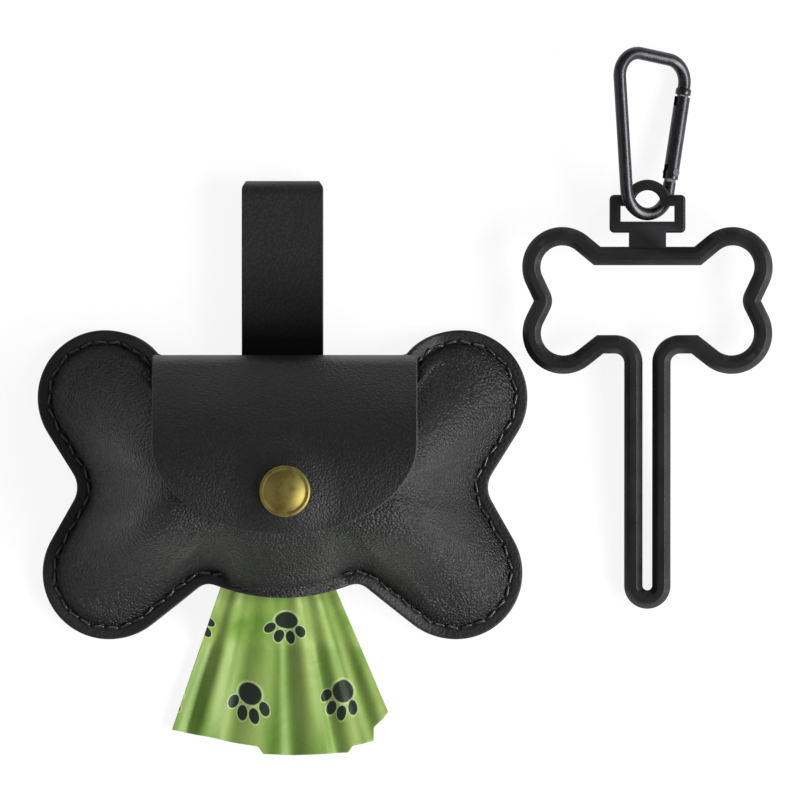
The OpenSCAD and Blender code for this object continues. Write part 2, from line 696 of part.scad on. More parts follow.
film_x = -1.2;                          // the bag hangs this far off the middle
film_lean = 1.8;                        // and leans this far back across it down to its hem
film_lead = 5.5;                        // where the film leaves the roll, short of its side
film_mouth_z = back_z + leather_t + soft_gap + film_t / 2;
film_start_z = roll_z - sqrt(pow(roll_d / 2, 2) - pow(film_lead, 2)) - soft_gap - film_t / 2;
film_start_y = roll_y - film_lead;
film_dip = 9;                           // length over which it comes down from the roll
film_inside_half = film_mouth_half;                  // half width of the bag where it leaves the roll
film_fall = 13;                         // length over which it comes down to the table
film_rest = 0.1;                        // height of the film's underside above the table
film_table_z = film_t / 2 + film_rest;
film_gather = 8;                        // length below the roll that stays flat
film_open = 14;                         // length above the hem with the full fold height
// Height of the hem over its lowest point, at places from its left end (-1) to its right end (1)
hem_steps = [[-1, 6.4], [-0.24, 2.2], [-0.2, 0.3], [0.1, 0], [0.53, 0.7], [0.57, 2.4],
    [0.78, 3.6], [0.82, 7], [1, 10.8]];
fold_shift = 25;                        // degrees by which the folds drift across the bag
film_rows = 13;
film_cols = 7 * film_folds;
function film_base(y) =
    y > lip_y
        ? mix(film_mouth_z, film_start_z, smooth((y - film_start_y + film_dip) / film_dip))
        : mix(film_mouth_z, film_table_z, smooth((lip_y - y) / film_fall));
function film_half(y) =
    y > mouth_y
        ? mix(film_mouth_half, film_inside_half, smooth((y - mouth_y) / (film_start_y - mouth_y)))
        : mix(film_mouth_half, film_hem_half, (mouth_y - y) / (mouth_y - film_hem_y));
function film_middle(y) =
    film_x + film_lean * max(0, (mouth_y - y) / (mouth_y - film_hem_y));
function film_height(y) =
    let (start = film_start_y - film_gather)
    film_wave * smooth((start - y) / (start - film_hem_y - film_open));
function film_point(u, w) =
    let (across = 2 * u - 1,
         hem = film_hem_y + lookup(across, hem_steps),
         y = mix(film_start_y, hem, w),
         ripple = (1 + cos(360 * film_folds * u + fold_shift * sin(360 * u))) / 2)
    [film_middle(y) + across * film_half(y), y, film_base(y) + film_height(y) * ripple];
module leading_bag() {
    color("#8fae55") in_pouch()
        sheet([for (i = [0:film_cols])
            [for (j = [film_rows:-1:0]) film_point(i / film_cols, j / film_rows)]], film_t);
}

// ---- bag carrier ----
waist_inner = 0.2;    // inner radius of the ring's waists
left_ring = [
    [-ring_bar_half, ring_bar_y, 0, 1],
    [-ring_up_x, ring_up_y, ring_up_r, 1],
    [-ring_waist_x, 0, ring_w / 2 + waist_inner, -1],
    [-ring_low_x, ring_low_y, ring_low_r, 1],
    [-ring_low_half, ring_low_bar_y, 0, 1],
    [-leg_half - flare_r, ring_low_bar_y - flare_r, flare_r, -1]];
tail_tip = [0, -tail_len + ring_w / 2 + leg_half, leg_half, 1];
ring_step = 20;       // degrees between the points of the carrier's arcs
carrier_stations = belt(concat(left_ring, [tail_tip], mirrored(left_ring)),
    ring_step, ring_step);
plate_edge = 0.45;    // slope on the edges of plate and eye
eye_open = 3;         // depth to which the plate is cut open below the eye's centre
module plate_frame() {
    half = plate_bar / 2;
    path = belt([for (c = [[-1, 1], [-1, -1], [1, -1], [1, 1]])
        [c[0] * (plate_w / 2 - half), c[1] > 0 ? plate_top_y - half : plate_low_y + half, 0, 1]],
        ring_step, ring_step);
    translate([0, 0, ring_h / 2 - plate_t / 2]) difference() {
        ring_sweep(path, bevelled(plate_bar, plate_t, plate_edge, plate_edge));
        translate([0, eye_y, -through])
            cylinder(r = eye_r, h = plate_t + 2 * through, $fn = disc_fn);
        translate([-eye_r, eye_y - eye_open, -through])
            cube([2 * eye_r, eye_open, plate_t + 2 * through]);
    }
}
module eye_arch() {
    band = eye_out_r - eye_r;
    mid = (eye_out_r + eye_r) / 2;
    translate([0, eye_y, ring_h / 2 - plate_t / 2])
        rotate_extrude(angle = 180, $fn = disc_fn)
            polygon([for (q = bevelled(band, plate_t, plate_edge, plate_edge)) [mid + q[0], q[1]]]);
}
// Lines of the hook, drawn in its own leaning plane round the centre of its lower bend
hook_circles = [[0, 0, bend_r], [nose_x, nose_y, corner_r], [-spine_x, spine_y, corner_r]];
function full(c) = [c[0], c[1], c[2], 1];
hook_headings = [for (i = [0:2]) heading(full(hook_circles[i]), full(hook_circles[(i + 1) % 3]))];
gate_heading = hook_headings[0];
gate_foot = on_circle(full(hook_circles[0]), gate_heading);
gate_dir = [cos(gate_heading), sin(gate_heading)];
gate_side = [sin(gate_heading), -cos(gate_heading)];
nose_gap = 0.5;       // gap between the gate's end and the nose
nose_end_at = rivet_at + gate_len + nose_gap;
nose_flange = 1.6;    // thickness of the nose's flange
flange_x = gate_foot[0] + gate_dir[0] * (nose_end_at + nose_flange);
// Heights: the hook's lowest point is on the table, and the plate is at its eye
hook_low = seat + max((nose_x + corner_r) * sin(lean) + rod_d / 2,
    flange_x * sin(lean) + gate_d / 2);
hook_lift = 0.3;      // the plate's middle is this far above the hook's bend centre
bend_y = 28.05;       // bend centre above the ring's middle
tail_lift = asin((hook_low + hook_lift - ring_h / 2) / (tail_len + bend_y));
module in_carrier() {
    translate([carrier_x, carrier_y - tail_len, 0]) rotate([tail_lift, 0, 0])
        translate([0, tail_len, 0]) children();
}
module bag_carrier() {
    color("#2c2c2c") in_carrier() {
        ring_sweep(carrier_stations, bevelled(ring_w, ring_h, ring_bevel, ring_bevel));
        plate_frame();
        eye_arch();
        translate([-neck_w / 2, ring_bar_y, ring_h / 2 - plate_t / 2])
            cube([neck_w, plate_low_y + plate_bar / 2 - ring_bar_y, plate_t]);
    }
}

// ---- spring-gate hook, drawn in its own leaning plane ----
hook_y = carrier_y - tail_len + (tail_len + bend_y) * cos(tail_lift);
module in_hook() {
    translate([carrier_x, hook_y, hook_low]) rotate([0, lean, 0]) children();
}
rivet_point = gate_foot + gate_dir * rivet_at;
rod_end = 2.45;       // the rod stops this far before the rivet
shoulder_at = rivet_at - rod_end;
slot_play = 0.15;     // play on each side of a tongue in its slot
tongue_r = 1.3;       // half width of the tongue that the rivet goes through
tongue_root = 0.5;    // how far that tongue starts inside the rod
nose_tongue = 2.6;    // length of the nose's tongue
nose_tongue_w = 2.4;  // width of the nose's tongue
nose_hold = 0.4;      // how far it starts inside the nose
function on_gate(d) = let (p = gate_foot + gate_dir * d) [p[0], p[1], gate_heading, 1, 0];
rod_stations = concat([on_gate(nose_end_at)],
    belt([for (i = [1, 2, 0]) full(hook_circles[i])], rod_step, rod_step),
    [on_gate(shoulder_at)]);
module along_gate() {
    translate([gate_foot[0], gate_foot[1], 0]) rotate(gate_heading) children();
}
module carabiner_body() {
    color("#303030") in_hook() difference() {
        union() {
            rod_sweep(rod_stations, rod_d / 2);
            along_gate() {
                translate([shoulder_at - tongue_root, -tongue_r, -tongue_t / 2])
                    cube([rivet_at - shoulder_at + tongue_root, 2 * tongue_r, tongue_t]);
                translate([rivet_at, 0, -tongue_t / 2])
                    cylinder(r = tongue_r, h = tongue_t, $fn = disc_fn);
                translate([nose_end_at, 0, 0]) rotate([0, 90, 0])
                    cylinder(d = gate_d, h = nose_flange, $fn = disc_fn);
                translate([nose_end_at - nose_tongue, -nose_tongue_w / 2, -tongue_t / 2])
                    cube([nose_tongue + nose_hold, nose_tongue_w, tongue_t]);
            }
        }
        along_gate() rivet_hole();
    }
}
module rivet_hole() {
    translate([rivet_at, 0, -gate_d])
        cylinder(d = rivet_d + 2 * seat, h = 2 * gate_d, $fn = disc_fn);
}
spring_d = 1.7;
spring_len = 6;
spring_wire = 0.35;   // thickness of the spring's wall
spring_seat = 1;      // length of its closed end
spring_from = rivet_at + 3.6;
gate_heel = 1.7;      // how far the gate reaches past its rivet
gate_slot = 2.5;      // length of the slot for the nose's tongue
slot_end = 0.4;       // room between the rivet's tongue and its slot's end
bore_start = 1;       // distance from the rivet to the spring's bore
module carabiner_gate() {
    color("#2a2a2a") in_hook() along_gate() difference() {
        translate([rivet_at - gate_heel, 0, 0]) rotate([0, 90, 0])
            cylinder(d = gate_d, h = gate_len + gate_heel, $fn = disc_fn);
        translate([rivet_at - gate_heel - through, -gate_d, -tongue_t / 2 - slot_play])
            cube([gate_heel + through + tongue_r + slot_end, 2 * gate_d,
                tongue_t + 2 * slot_play]);
        translate([rivet_at + gate_len - gate_slot, -gate_d, -tongue_t / 2 - slot_play])
            cube([gate_slot + through, 2 * gate_d, tongue_t + 2 * slot_play]);
        translate([rivet_at + bore_start, 0, 0]) rotate([0, 90, 0])
            cylinder(d = spring_d + 2 * seat,
                h = spring_from + spring_len - rivet_at - bore_start + seat, $fn = disc_fn);
        rivet_hole();
    }
}
rivet_head = 0.35;    // how far the rivet stands out of the gate
rivet_head_d = 1.9;   // diameter of its heads
head_gap = 0.02;      // gap between a head and the gate
module gate_rivet() {
    color("#3a3a3a") in_hook() along_gate() translate([rivet_at, 0, 0]) {
        cylinder(d = rivet_d, h = gate_d + 2 * rivet_head - 2 * seat, center = true,
            $fn = disc_fn);
        for (s = [0, 1]) mirror([0, 0, s])
            translate([0, 0, gate_d / 2 + head_gap])
                cylinder(d = rivet_head_d, h = rivet_head - seat, $fn = disc_fn);
    }
}
module gate_spring() {
    color("#9a9a9a") in_hook() along_gate()
        translate([spring_from, 0, 0]) rotate([0, 90, 0]) difference() {
            cylinder(d = spring_d, h = spring_len, $fn = disc_fn);
            translate([0, 0, spring_seat])
                cylinder(d = spring_d - 2 * spring_wire, h = spring_len, $fn = disc_fn);
        }
}
module gate_plunger() {
    color("#9a9a9a") in_hook() along_gate()
        translate([rivet_at + tongue_r + seat, 0, 0]) rotate([0, 90, 0])
            cylinder(d = spring_d, h = spring_from - rivet_at - tongue_r - 2 * seat,
                $fn = disc_fn);
}

back_panel();
front_panel();
flap();
flap_snap_cap();
flap_snap_socket();
pouch_snap_stud();
pouch_snap_post();
stitching_left();
stitching_right();
strap_root();
strap_tab();
strap_loop();
strap_snap_cap();
strap_snap_socket();
strap_snap_stud();
strap_snap_post();
roll_core();
bag_roll();
leading_bag();
bag_carrier();
carabiner_body();
carabiner_gate();
gate_rivet();
gate_spring();
gate_plunger();
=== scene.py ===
# %% [markdown]
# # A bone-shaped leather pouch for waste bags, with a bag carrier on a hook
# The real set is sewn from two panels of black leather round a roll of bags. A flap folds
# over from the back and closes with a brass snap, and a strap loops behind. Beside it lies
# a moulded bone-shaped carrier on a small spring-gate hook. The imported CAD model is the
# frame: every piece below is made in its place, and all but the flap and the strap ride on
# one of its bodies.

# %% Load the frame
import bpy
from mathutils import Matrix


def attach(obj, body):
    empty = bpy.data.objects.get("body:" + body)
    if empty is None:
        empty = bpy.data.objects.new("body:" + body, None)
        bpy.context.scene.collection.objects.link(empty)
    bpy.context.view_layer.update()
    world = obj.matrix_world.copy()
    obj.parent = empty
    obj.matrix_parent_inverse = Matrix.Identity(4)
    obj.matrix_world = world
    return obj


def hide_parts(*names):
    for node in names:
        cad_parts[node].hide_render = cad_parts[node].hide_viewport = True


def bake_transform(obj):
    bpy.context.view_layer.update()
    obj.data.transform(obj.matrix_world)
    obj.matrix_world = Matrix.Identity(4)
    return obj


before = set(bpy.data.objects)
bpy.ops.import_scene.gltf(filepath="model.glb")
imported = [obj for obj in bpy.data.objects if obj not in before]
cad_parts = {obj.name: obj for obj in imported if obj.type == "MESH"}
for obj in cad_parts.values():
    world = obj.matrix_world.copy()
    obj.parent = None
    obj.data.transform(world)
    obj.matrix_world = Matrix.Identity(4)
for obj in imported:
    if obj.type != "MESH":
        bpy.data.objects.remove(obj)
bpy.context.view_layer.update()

# %% [markdown]
# ## Sizes and small sums
# All sums are in millimetres, as in the CAD model, and are turned to metres at the last
# step. The pouch's pieces are drawn round its own middle and moved once.

# %% Units and easing
import math

import bmesh
import bpy
import numpy as np

MM = 0.001
POUCH = np.array([-30.6, -19.0, 0.0])     # middle of the pouch on the table


def smooth(u):
    """0 below 0, 1 above 1, and an even slope between."""
    w = np.clip(u, 0, 1)
    return w * w * (3 - 2 * w)


def mix(a, b, w):
    return a + (b - a) * w


def unit(vectors):
    return vectors / np.maximum(np.linalg.norm(vectors, axis=-1, keepdims=True), 1e-12)


print("pouch middle:", POUCH)

# %% Colours
def srgb(code):
    """An sRGB hex colour as linear red, green, blue and alpha."""
    parts = [int(code[i:i + 2], 16) / 255 for i in (1, 3, 5)]
    return [c / 12.92 if c <= 0.04045 else ((c + 0.055) / 1.055) ** 2.4 for c in parts] + [1.0]


print("mid grey in linear light:", round(srgb("#808080")[0], 3))

# %% [markdown]
# ## Node trees
# A finish is a small tree of nodes, and so are the stitches. One class adds nodes to a
# tree, and another starts a finish with what nearly every finish has.

# %% A tree and its nodes
class Nodes:
    """A node tree with short ways to add to it."""

    def __init__(self, tree):
        self.tree = tree

    def feed(self, node, inputs):
        """Sets a node's sockets by name or number, or links them where a socket is given."""
        for key, value in inputs.items():
            if isinstance(value, bpy.types.NodeSocket):
                self.tree.links.new(value, node.inputs[key])
            else:
                node.inputs[key].default_value = value

    def add(self, kind, inputs=None, **settings):
        """A new node, its settings made first and its sockets fed after."""
        made = self.tree.nodes.new(kind)
        for key, value in settings.items():
            setattr(made, key, value)
        self.feed(made, inputs or {})
        return made

    def one(self, kind, inputs=None, **settings):
        """A node's first output."""
        return self.add(kind, inputs, **settings).outputs[0]

    def math(self, operation, *values):
        return self.one("ShaderNodeMath", dict(enumerate(values)), operation=operation)

    def spread(self, value, *ends):
        """A value moved from one range to another, each with a low and a high end."""
        return self.one("ShaderNodeMapRange", dict(enumerate([value, *ends])))

    def triple(self, **parts):
        return self.one("ShaderNodeCombineXYZ", parts)


print("nodes are added through", Nodes.__name__)

# %% A finish
class Finish(Nodes):
    """A material with its shader, and the place on the piece in metres."""

    def __init__(self, name, **sockets):
        self.material = bpy.data.materials.new(name)
        self.material.use_nodes = True
        super().__init__(self.material.node_tree)
        self.tree.nodes.clear()
        self.shader = self.add("ShaderNodeBsdfPrincipled")
        self.out = self.add("ShaderNodeOutputMaterial", {"Surface": self.shader.outputs[0]})
        self.place = self.add("ShaderNodeTexCoord").outputs["Object"]
        self.dress(**sockets)

    def dress(self, **sockets):
        """Sets or links the shader's sockets and gives the material."""
        self.feed(self.shader, {key.replace("_", " "): v for key, v in sockets.items()})
        return self.material

    def moved(self, **turns):
        return self.one("ShaderNodeMapping", {"Vector": self.place, **turns})

    def noise(self, size, place=None, **more):
        """The outputs of soft noise, its size in mm."""
        spot = self.place if place is None else place
        return self.add("ShaderNodeTexNoise", {"Vector": spot, "Scale": 1 / (size * MM),
                                               **more}).outputs

    def bump(self, height, depth, **more):
        """Relief from a height, its depth in mm."""
        relief = self.add("ShaderNodeBump", {"Height": height, "Distance": depth * MM, **more})
        self.dress(Normal=relief.outputs[0])

    def ramp(self, factor, *stops):
        """A colour ramp from two (place, hex) stops."""
        made = self.add("ShaderNodeValToRGB", {0: factor})
        for element, (at, code) in zip(made.color_ramp.elements, stops):
            element.position, element.color = at, srgb(code)
        return made.outputs[0]

    def tinted(self, share, colour, code):
        return self.add("ShaderNodeMix", {0: share, 6: colour, 7: srgb(code)},
                        data_type="RGBA").outputs[2]


print("finishes are made through", Finish.__name__)

# %% [markdown]
# ## Pebbled leather
# The pouch is cowhide, dyed black and embossed with a fine pebble under a thin finish
# coat. Rounded Voronoi cells make the pebbles, and noise of the same size breaks them up.
# The rim outside the seam, the flap and the strap are pressed flatter, so their shine is
# more even. Painted shade darkens the strap and dulls its shine towards the pouch.

# %% Leather
def leather(name, deep, pale, grain, depth, rough, coat, painted_shade_span=None):
    """Embossed leather: grain and depth are the pebbles' width and height in mm."""
    look = Finish(name, Coat_Weight=coat, Coat_Roughness=0.36, Coat_IOR=1.45)
    bend = look.noise(6 * grain, Detail=2.0)["Color"]
    shift = look.one("ShaderNodeVectorMath", {0: bend, "Scale": 1.2 * grain * MM},
                     operation="SCALE")
    there = look.one("ShaderNodeVectorMath", {0: look.place, 1: shift},
                     operation="ADD")
    pebble = look.add("ShaderNodeTexVoronoi", {"Vector": there, "Scale": 1 / (grain * MM),
                                               "Smoothness": 0.35},
                      feature="SMOOTH_F1").outputs["Distance"]
    grit = look.noise(0.9 * grain, there, Detail=3.0, Roughness=0.6)[0]
    look.bump(look.math("MULTIPLY_ADD", pebble, -1.0, grit), depth, Strength=1.0)
    patch = look.noise(22, Detail=3.0)[0]
    colour = look.ramp(look.math("MULTIPLY_ADD", patch, 0.5, pebble), (0.2, pale), (0.85, deep))
    # painted shade: the colour goes to near black and the shine drops towards the pouch
    if painted_shade_span:
        along = look.add("ShaderNodeSeparateXYZ", {0: look.place}).outputs[1]
        share = look.spread(along, painted_shade_span[0] * MM, painted_shade_span[1] * MM, 1.0, 0.0)
        colour = look.tinted(share, colour, "#020202")
        look.dress(Specular_IOR_Level=look.spread(share, 0, 1, 0.5, 0.08))
    dull = look.spread(patch, 0.3, 0.7, rough - 0.07, rough + 0.08)
    return look.dress(Base_Color=colour, Roughness=dull)


FRONT_HIDE = leather("pebbled_black_leather", "#0d0d0d", "#1a1a1a", 0.65, 0.4, 0.36, 0.04)
RIM_HIDE = leather("pressed_rim_leather", "#0d0d0d", "#171717", 0.7, 0.1, 0.55, 0.02)
BACK_HIDE = leather("black_lining_leather", "#101010", "#1b1a1a", 0.9, 0.09, 0.52, 0.04)
FLAP_HIDE = leather("rolled_black_leather", "#101010", "#1c1c1b", 0.6, 0.14, 0.52, 0.04)
# the strap's painted shade is full below y 15 mm and gone above y 36 mm
STRAP_HIDE = leather("smooth_strap_leather", "#151515", "#252524", 0.7, 0.05, 0.46, 0.1,
                     painted_shade_span=(15, 36))
print("leathers:", [m.name for m in bpy.data.materials if "leather" in m.name])

# %% [markdown]
# ## Cut edge
# Where leather is cut, its fibres show as a paler, matt band that dye has only half
# filled. It gives each panel the thin light line along its outline.

# %% Cut edge
def cut_edge():
    look = Finish("dyed_leather_edge", Roughness=0.8)
    fibre = look.noise(0.8, Detail=6.0, Roughness=0.7)[0]
    look.bump(fibre, 0.15)
    return look.dress(Base_Color=look.ramp(fibre, (0.3, "#262422"), (0.7, "#4c4844")))


EDGE = cut_edge()
print("edge finish:", EDGE.name)

# %% [markdown]
# ## Metals
# The snap is brass with an antique dip, so its tone is mottled and olive. The hook, its
# gate and its rivet are aluminium with a black anodised skin, drawn along the rod. The
# gate's spring and plunger are zinc-plated steel.

# %% Brass, anodised aluminium and steel
def metal(name, stops, rough, grain, stretch=(1, 1, 1), depth=0.01):
    """A metal with a mottled tone: grain in mm, stretch makes it a brushed direction."""
    look = Finish(name, Metallic=1.0)
    spots = look.noise(grain, look.moved(Scale=stretch), Detail=5.0, Roughness=0.65)[0]
    look.bump(spots, depth)
    return look.dress(Base_Color=look.ramp(spots, *stops),
                      Roughness=look.spread(spots, 0.35, 0.65, rough - 0.06, rough + 0.08))


BRASS = metal("antique_brass", [(0.3, "#857840"), (0.7, "#9f9254")], 0.5, 3.5, depth=0.012)
ANODISED = metal("black_anodised_aluminium", [(0.4, "#404043"), (0.6, "#48484b")], 0.32, 3.0,
                 stretch=(3, 1, 3), depth=0.001)
STEEL = metal("zinc_plated_steel", [(0.4, "#8b8c8e"), (0.6, "#b4b5b7")], 0.32, 1.5)
print("metals:", BRASS.name, ANODISED.name, STEEL.name)

# %% [markdown]
# ## Thread, card and moulded plastic
# The seam is waxed polyester thread, whose twist catches small sparks of light. The roll
# is wound on card. The carrier is nylon from a finely eroded mould, which softens its
# shine, and its ridges are painted paler as a painted highlight.

# %% Thread and card
def fibres(name, stops, rough, spacing, turn, depth, coat):
    """A finish with parallel fibres: spacing in mm, turn is their angle."""
    look = Finish(name, Roughness=rough, Coat_Weight=coat, Coat_Roughness=0.25)
    strands = look.one("ShaderNodeTexWave", {"Vector": look.moved(Rotation=turn), "Detail": 2.0,
                                             "Distortion": 1.5,
                                             "Scale": 0.32 / (spacing * MM)})
    look.bump(strands, depth)
    return look.dress(Base_Color=look.ramp(strands, *stops))


THREAD = fibres("waxed_polyester_thread", [(0.2, "#0b0b0b"), (0.9, "#262626")], 0.3, 0.35,
                (0, 0, 0.9), 0.12, 1.0)
CARD = fibres("grey_core_card", [(0.2, "#a08a68"), (0.9, "#bda684")], 0.85, 0.6,
              (0, 0.6, 0), 0.05, 0.0)
print("thread and card:", THREAD.name, CARD.name)

# %% Moulded nylon
def moulded():
    look = Finish("moulded_black_nylon")
    cloud = look.noise(9, Detail=4.0)[0]
    # painted highlight: ridges found by pointiness are painted paler, standing in for their shine
    ridge = look.add("ShaderNodeNewGeometry").outputs["Pointiness"]
    cloud_and_ridge_highlight = look.math("MULTIPLY_ADD", cloud, 0.5, look.spread(ridge, 0.5, 0.62, 0.0, 0.5))
    look.bump(look.noise(0.3, Detail=3.0)[0], 0.012)
    return look.dress(Base_Color=look.ramp(cloud_and_ridge_highlight, (0.15, "#0d0d0e"), (0.6, "#2b2b2d")),
                      Roughness=look.spread(cloud, 0.3, 0.7, 0.28, 0.36))


NYLON = moulded()
print("carrier finish:", NYLON.name)

# %% [markdown]
# ## Bag film with paw prints
# The bags are blown polyethylene, thin enough for light to come through, printed with
# plain paw prints. A print is five ellipses: a Mapping node of the Texture kind turns
# each into a unit circle, so the distance from its middle says what is inside. Rows of
# cells repeat it on the bag's own flat millimetres, each turned by its own angle.

# %% One paw in its cell
PAW_CELL = (25.0, 20.0)                   # width and height of a cell, in mm
PAW_SHIFT, PAW_TURN = 0.42, 0.7           # shift of a row in cells, greatest turn in radians
PAW = [((0.0, -1.5), (3.0, 2.8), 0.0),    # middle, half sizes and turn: the pad, four toes
       ((-4.0, 1.5), (1.3, 1.9), 0.45), ((-1.5, 3.8), (1.3, 2.0), 0.12),
       ((1.5, 3.8), (1.3, 2.0), -0.12), ((4.0, 1.5), (1.3, 1.9), -0.45)]


def cell_place(look, flat):
    """Millimetres from the middle of the cell that a point of the flat bag is in, turned."""
    x, y = look.add("ShaderNodeSeparateXYZ", {0: flat}).outputs[:2]
    row = look.math("DIVIDE", y, PAW_CELL[1])
    rank = look.math("FLOOR", row)
    file = look.math("MULTIPLY_ADD", rank, PAW_SHIFT, look.math("DIVIDE", x, PAW_CELL[0]))
    parts = [look.math("MULTIPLY", look.math("SUBTRACT", look.math("FRACT", value), 0.5), size)
             for value, size in zip((file, row), PAW_CELL)]
    cell = look.triple(X=look.math("FLOOR", file), Y=rank)
    chance = look.add("ShaderNodeTexWhiteNoise", {"Vector": cell}).outputs["Value"]
    return look.one("ShaderNodeVectorRotate",
                    {"Vector": look.triple(X=parts[0], Y=parts[1]),
                     "Angle": look.spread(chance, 0, 1, -PAW_TURN, PAW_TURN)})


def ellipse(look, place, centre, half, turn):
    """Distance from an ellipse's middle, 1 on its edge."""
    round_place = look.one("ShaderNodeMapping",
                           {"Vector": place, "Location": (*centre, 0), "Rotation": (0, 0, turn),
                            "Scale": (*half, 1)}, vector_type="TEXTURE")
    return look.add("ShaderNodeVectorMath", {0: round_place},
                    operation="LENGTH").outputs["Value"]


print("paw cell:", PAW_CELL)

# %% Film
def film(name, pale, deep, printed):
    """Green polyethylene film; printed adds the paw prints on its flat millimetres."""
    look = Finish(name, Roughness=0.5, IOR=1.4, Transmission_Weight=0.1)
    look.bump(look.noise(9, Detail=4.0, Distortion=0.8)[0], 0.5, Strength=0.6)
    drawn = look.moved(Scale=(1.0, 0.22, 1.0))
    colour = look.ramp(look.noise(8, drawn, Detail=2.0)[0], (0.38, pale), (0.66, deep))
    if printed:
        flat = look.add("ShaderNodeVectorMath", {
            0: look.add("ShaderNodeTexCoord").outputs["UV"], "Scale": 100.0}, operation="SCALE")
        here = cell_place(look, flat.outputs[0])
        nearest = 9.0
        for oval in PAW:
            nearest = look.math("MINIMUM", nearest, ellipse(look, here, *oval))
        for start, end, ink in ((1.12, 1.26, "#b9d08c"), (0.94, 1.06, "#1f2a20")):
            colour = look.tinted(look.spread(nearest, start, end, 1.0, 0.0), colour, ink)
    return look.dress(Base_Color=colour)


FILM = film("printed_bag_film", "#9ab45f", "#6c9736", True)
ROLL_FILM = film("wound_bag_film", "#8fb052", "#6f943a", False)
print("film:", FILM.name, "with", len(PAW), "ellipses a print")

# %% [markdown]
# ## Meshes from rings and grids
# Most pieces are either a loft, a row of closed rings joined by faces, or a slab, a curved
# grid with a thickness and a rounded edge.

# %% Loft
def loft(rings, closed=False):
    """Points and faces that join rings of equal count. Open lofts are closed by two hubs."""
    rings = np.asarray(rings, float)
    count, n = rings.shape[:2]
    index = np.arange(count * n).reshape(count, n)
    here = index if closed else index[:-1]
    then = np.roll(index, -1, 0) if closed else index[1:]
    quads = np.stack([here, then, np.roll(then, -1, 1), np.roll(here, -1, 1)], -1)
    faces = quads.reshape(-1, 4).tolist()
    points = rings.reshape(-1, 3)
    if not closed:
        points = np.vstack([points, rings[0].mean(0), rings[-1].mean(0)])
        first, last = count * n, count * n + 1
        faces += [[first, i, (i + 1) % n] for i in range(n)]
        faces += [[last, index[-1, (i + 1) % n], index[-1, i]] for i in range(n)]
    return points, faces


print("a loft of 3 rings of 4:", len(loft(np.zeros((3, 4, 3)))[1]), "faces")

# %% Slab
ROUND = [(0.6, 0.75), (0.92, 0.4), (1.0, 0.0), (0.92, -0.4), (0.6, -0.75)]


def border_of(rows, cols):
    """Numbers of a grid's border points, in order round it."""
    index = np.arange(rows * cols).reshape(rows, cols)
    return np.concatenate([index[:, 0], index[-1, 1:], index[-2::-1, -1], index[0, -2:0:-1]])


def slab(grid, thick, bulge):
    """Points, faces and each face's kind, 0 skin and 1 edge, of a grid with a thickness."""
    rows, cols = grid.shape[:2]
    normal = unit(np.cross(np.gradient(grid, axis=0), np.gradient(grid, axis=1)))
    index, border = np.arange(rows * cols).reshape(rows, cols), border_of(rows, cols)
    middle, up = grid.reshape(-1, 3)[border], normal.reshape(-1, 3)[border]
    inner = np.pad(grid[1:-1, 1:-1], ((1, 1), (1, 1), (0, 0)), "edge").reshape(-1, 3)[border]
    along = np.roll(middle, -1, 0) - np.roll(middle, 1, 0)
    out = unit(np.cross(along, up))
    out *= np.sign((out * (middle - inner)).sum())
    edges = [middle + out * bulge * a + up * thick / 2 * b for a, b in ROUND]
    top, low = (grid + normal * thick / 2).reshape(-1, 3), (grid - normal * thick / 2).reshape(-1, 3)
    points = np.vstack([top, low, *edges])
    a, b = index[:-1, :-1], index[1:, :-1]
    c, d = index[1:, 1:], index[:-1, 1:]
    skin = np.stack([a, b, c, d], -1).reshape(-1, 4)
    back = skin[:, ::-1] + rows * cols
    m, start = len(border), 2 * rows * cols
    loops = [border, *[start + k * m + np.arange(m) for k in range(len(ROUND))],
             border + rows * cols]
    rim = np.vstack([np.stack([np.roll(p, -1), p, q, np.roll(q, -1)], -1)
                     for p, q in zip(loops, loops[1:])])
    kinds = np.repeat([0, 1], [2 * len(skin), len(rim)])
    return points, np.vstack([skin, back, rim]).tolist(), kinds


print("slab edge has", len(ROUND), "rings")

# %% A piece from points and faces
def placed(name, data):
    obj = bpy.data.objects.new(name, data)
    bpy.context.collection.objects.link(obj)
    return obj


def apply_modifiers(obj):
    """Turns what an object's modifiers make into its mesh."""
    made = obj.evaluated_get(bpy.context.evaluated_depsgraph_get())
    mesh = bpy.data.meshes.new_from_object(made)
    obj.modifiers.clear()
    obj.data = mesh


def piece(name, points, faces, materials, kinds=None):
    """A mesh object at the origin from points in mm, with its faces turned outwards."""
    mesh = bpy.data.meshes.new(name)
    mesh.from_pydata((np.asarray(points, float) * MM).tolist(), [], faces)
    for material in materials:
        mesh.materials.append(material)
    if kinds is not None:
        mesh.polygons.foreach_set("material_index", np.asarray(kinds, np.int32))
    work = bmesh.new()
    work.from_mesh(mesh)
    volume = work.calc_volume(signed=True) / MM ** 3
    if volume < 0:
        bmesh.ops.reverse_faces(work, faces=work.faces[:])
    work.to_mesh(mesh)
    work.free()
    mesh.shade_smooth()
    print(f"{name}: {len(mesh.vertices)} points, {abs(volume):.0f} mm3")
    return placed(name, mesh)


def settle(obj, body, slot, *nodes):
    """Puts a finished piece on its body and hides the nodes it stands for; slot is not used."""
    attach(obj, body)
    if nodes:
        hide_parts(*nodes)


print("piece helpers ready")

# %% [markdown]
# ## Outlines as belts round circles
# The bone's outline is a belt: it runs round circles, left or right, and straight between
# them. A tangent's heading follows from the two circles, so every arc joins its neighbour
# smoothly. The carrier's ring and the hook are drawn the same way.

# %% Belt
def heading(a, b):
    dx, dy = b[0] - a[0], b[1] - a[1]
    return math.atan2(dy, dx) - math.asin((b[2] * b[3] - a[2] * a[3]) / math.hypot(dx, dy))


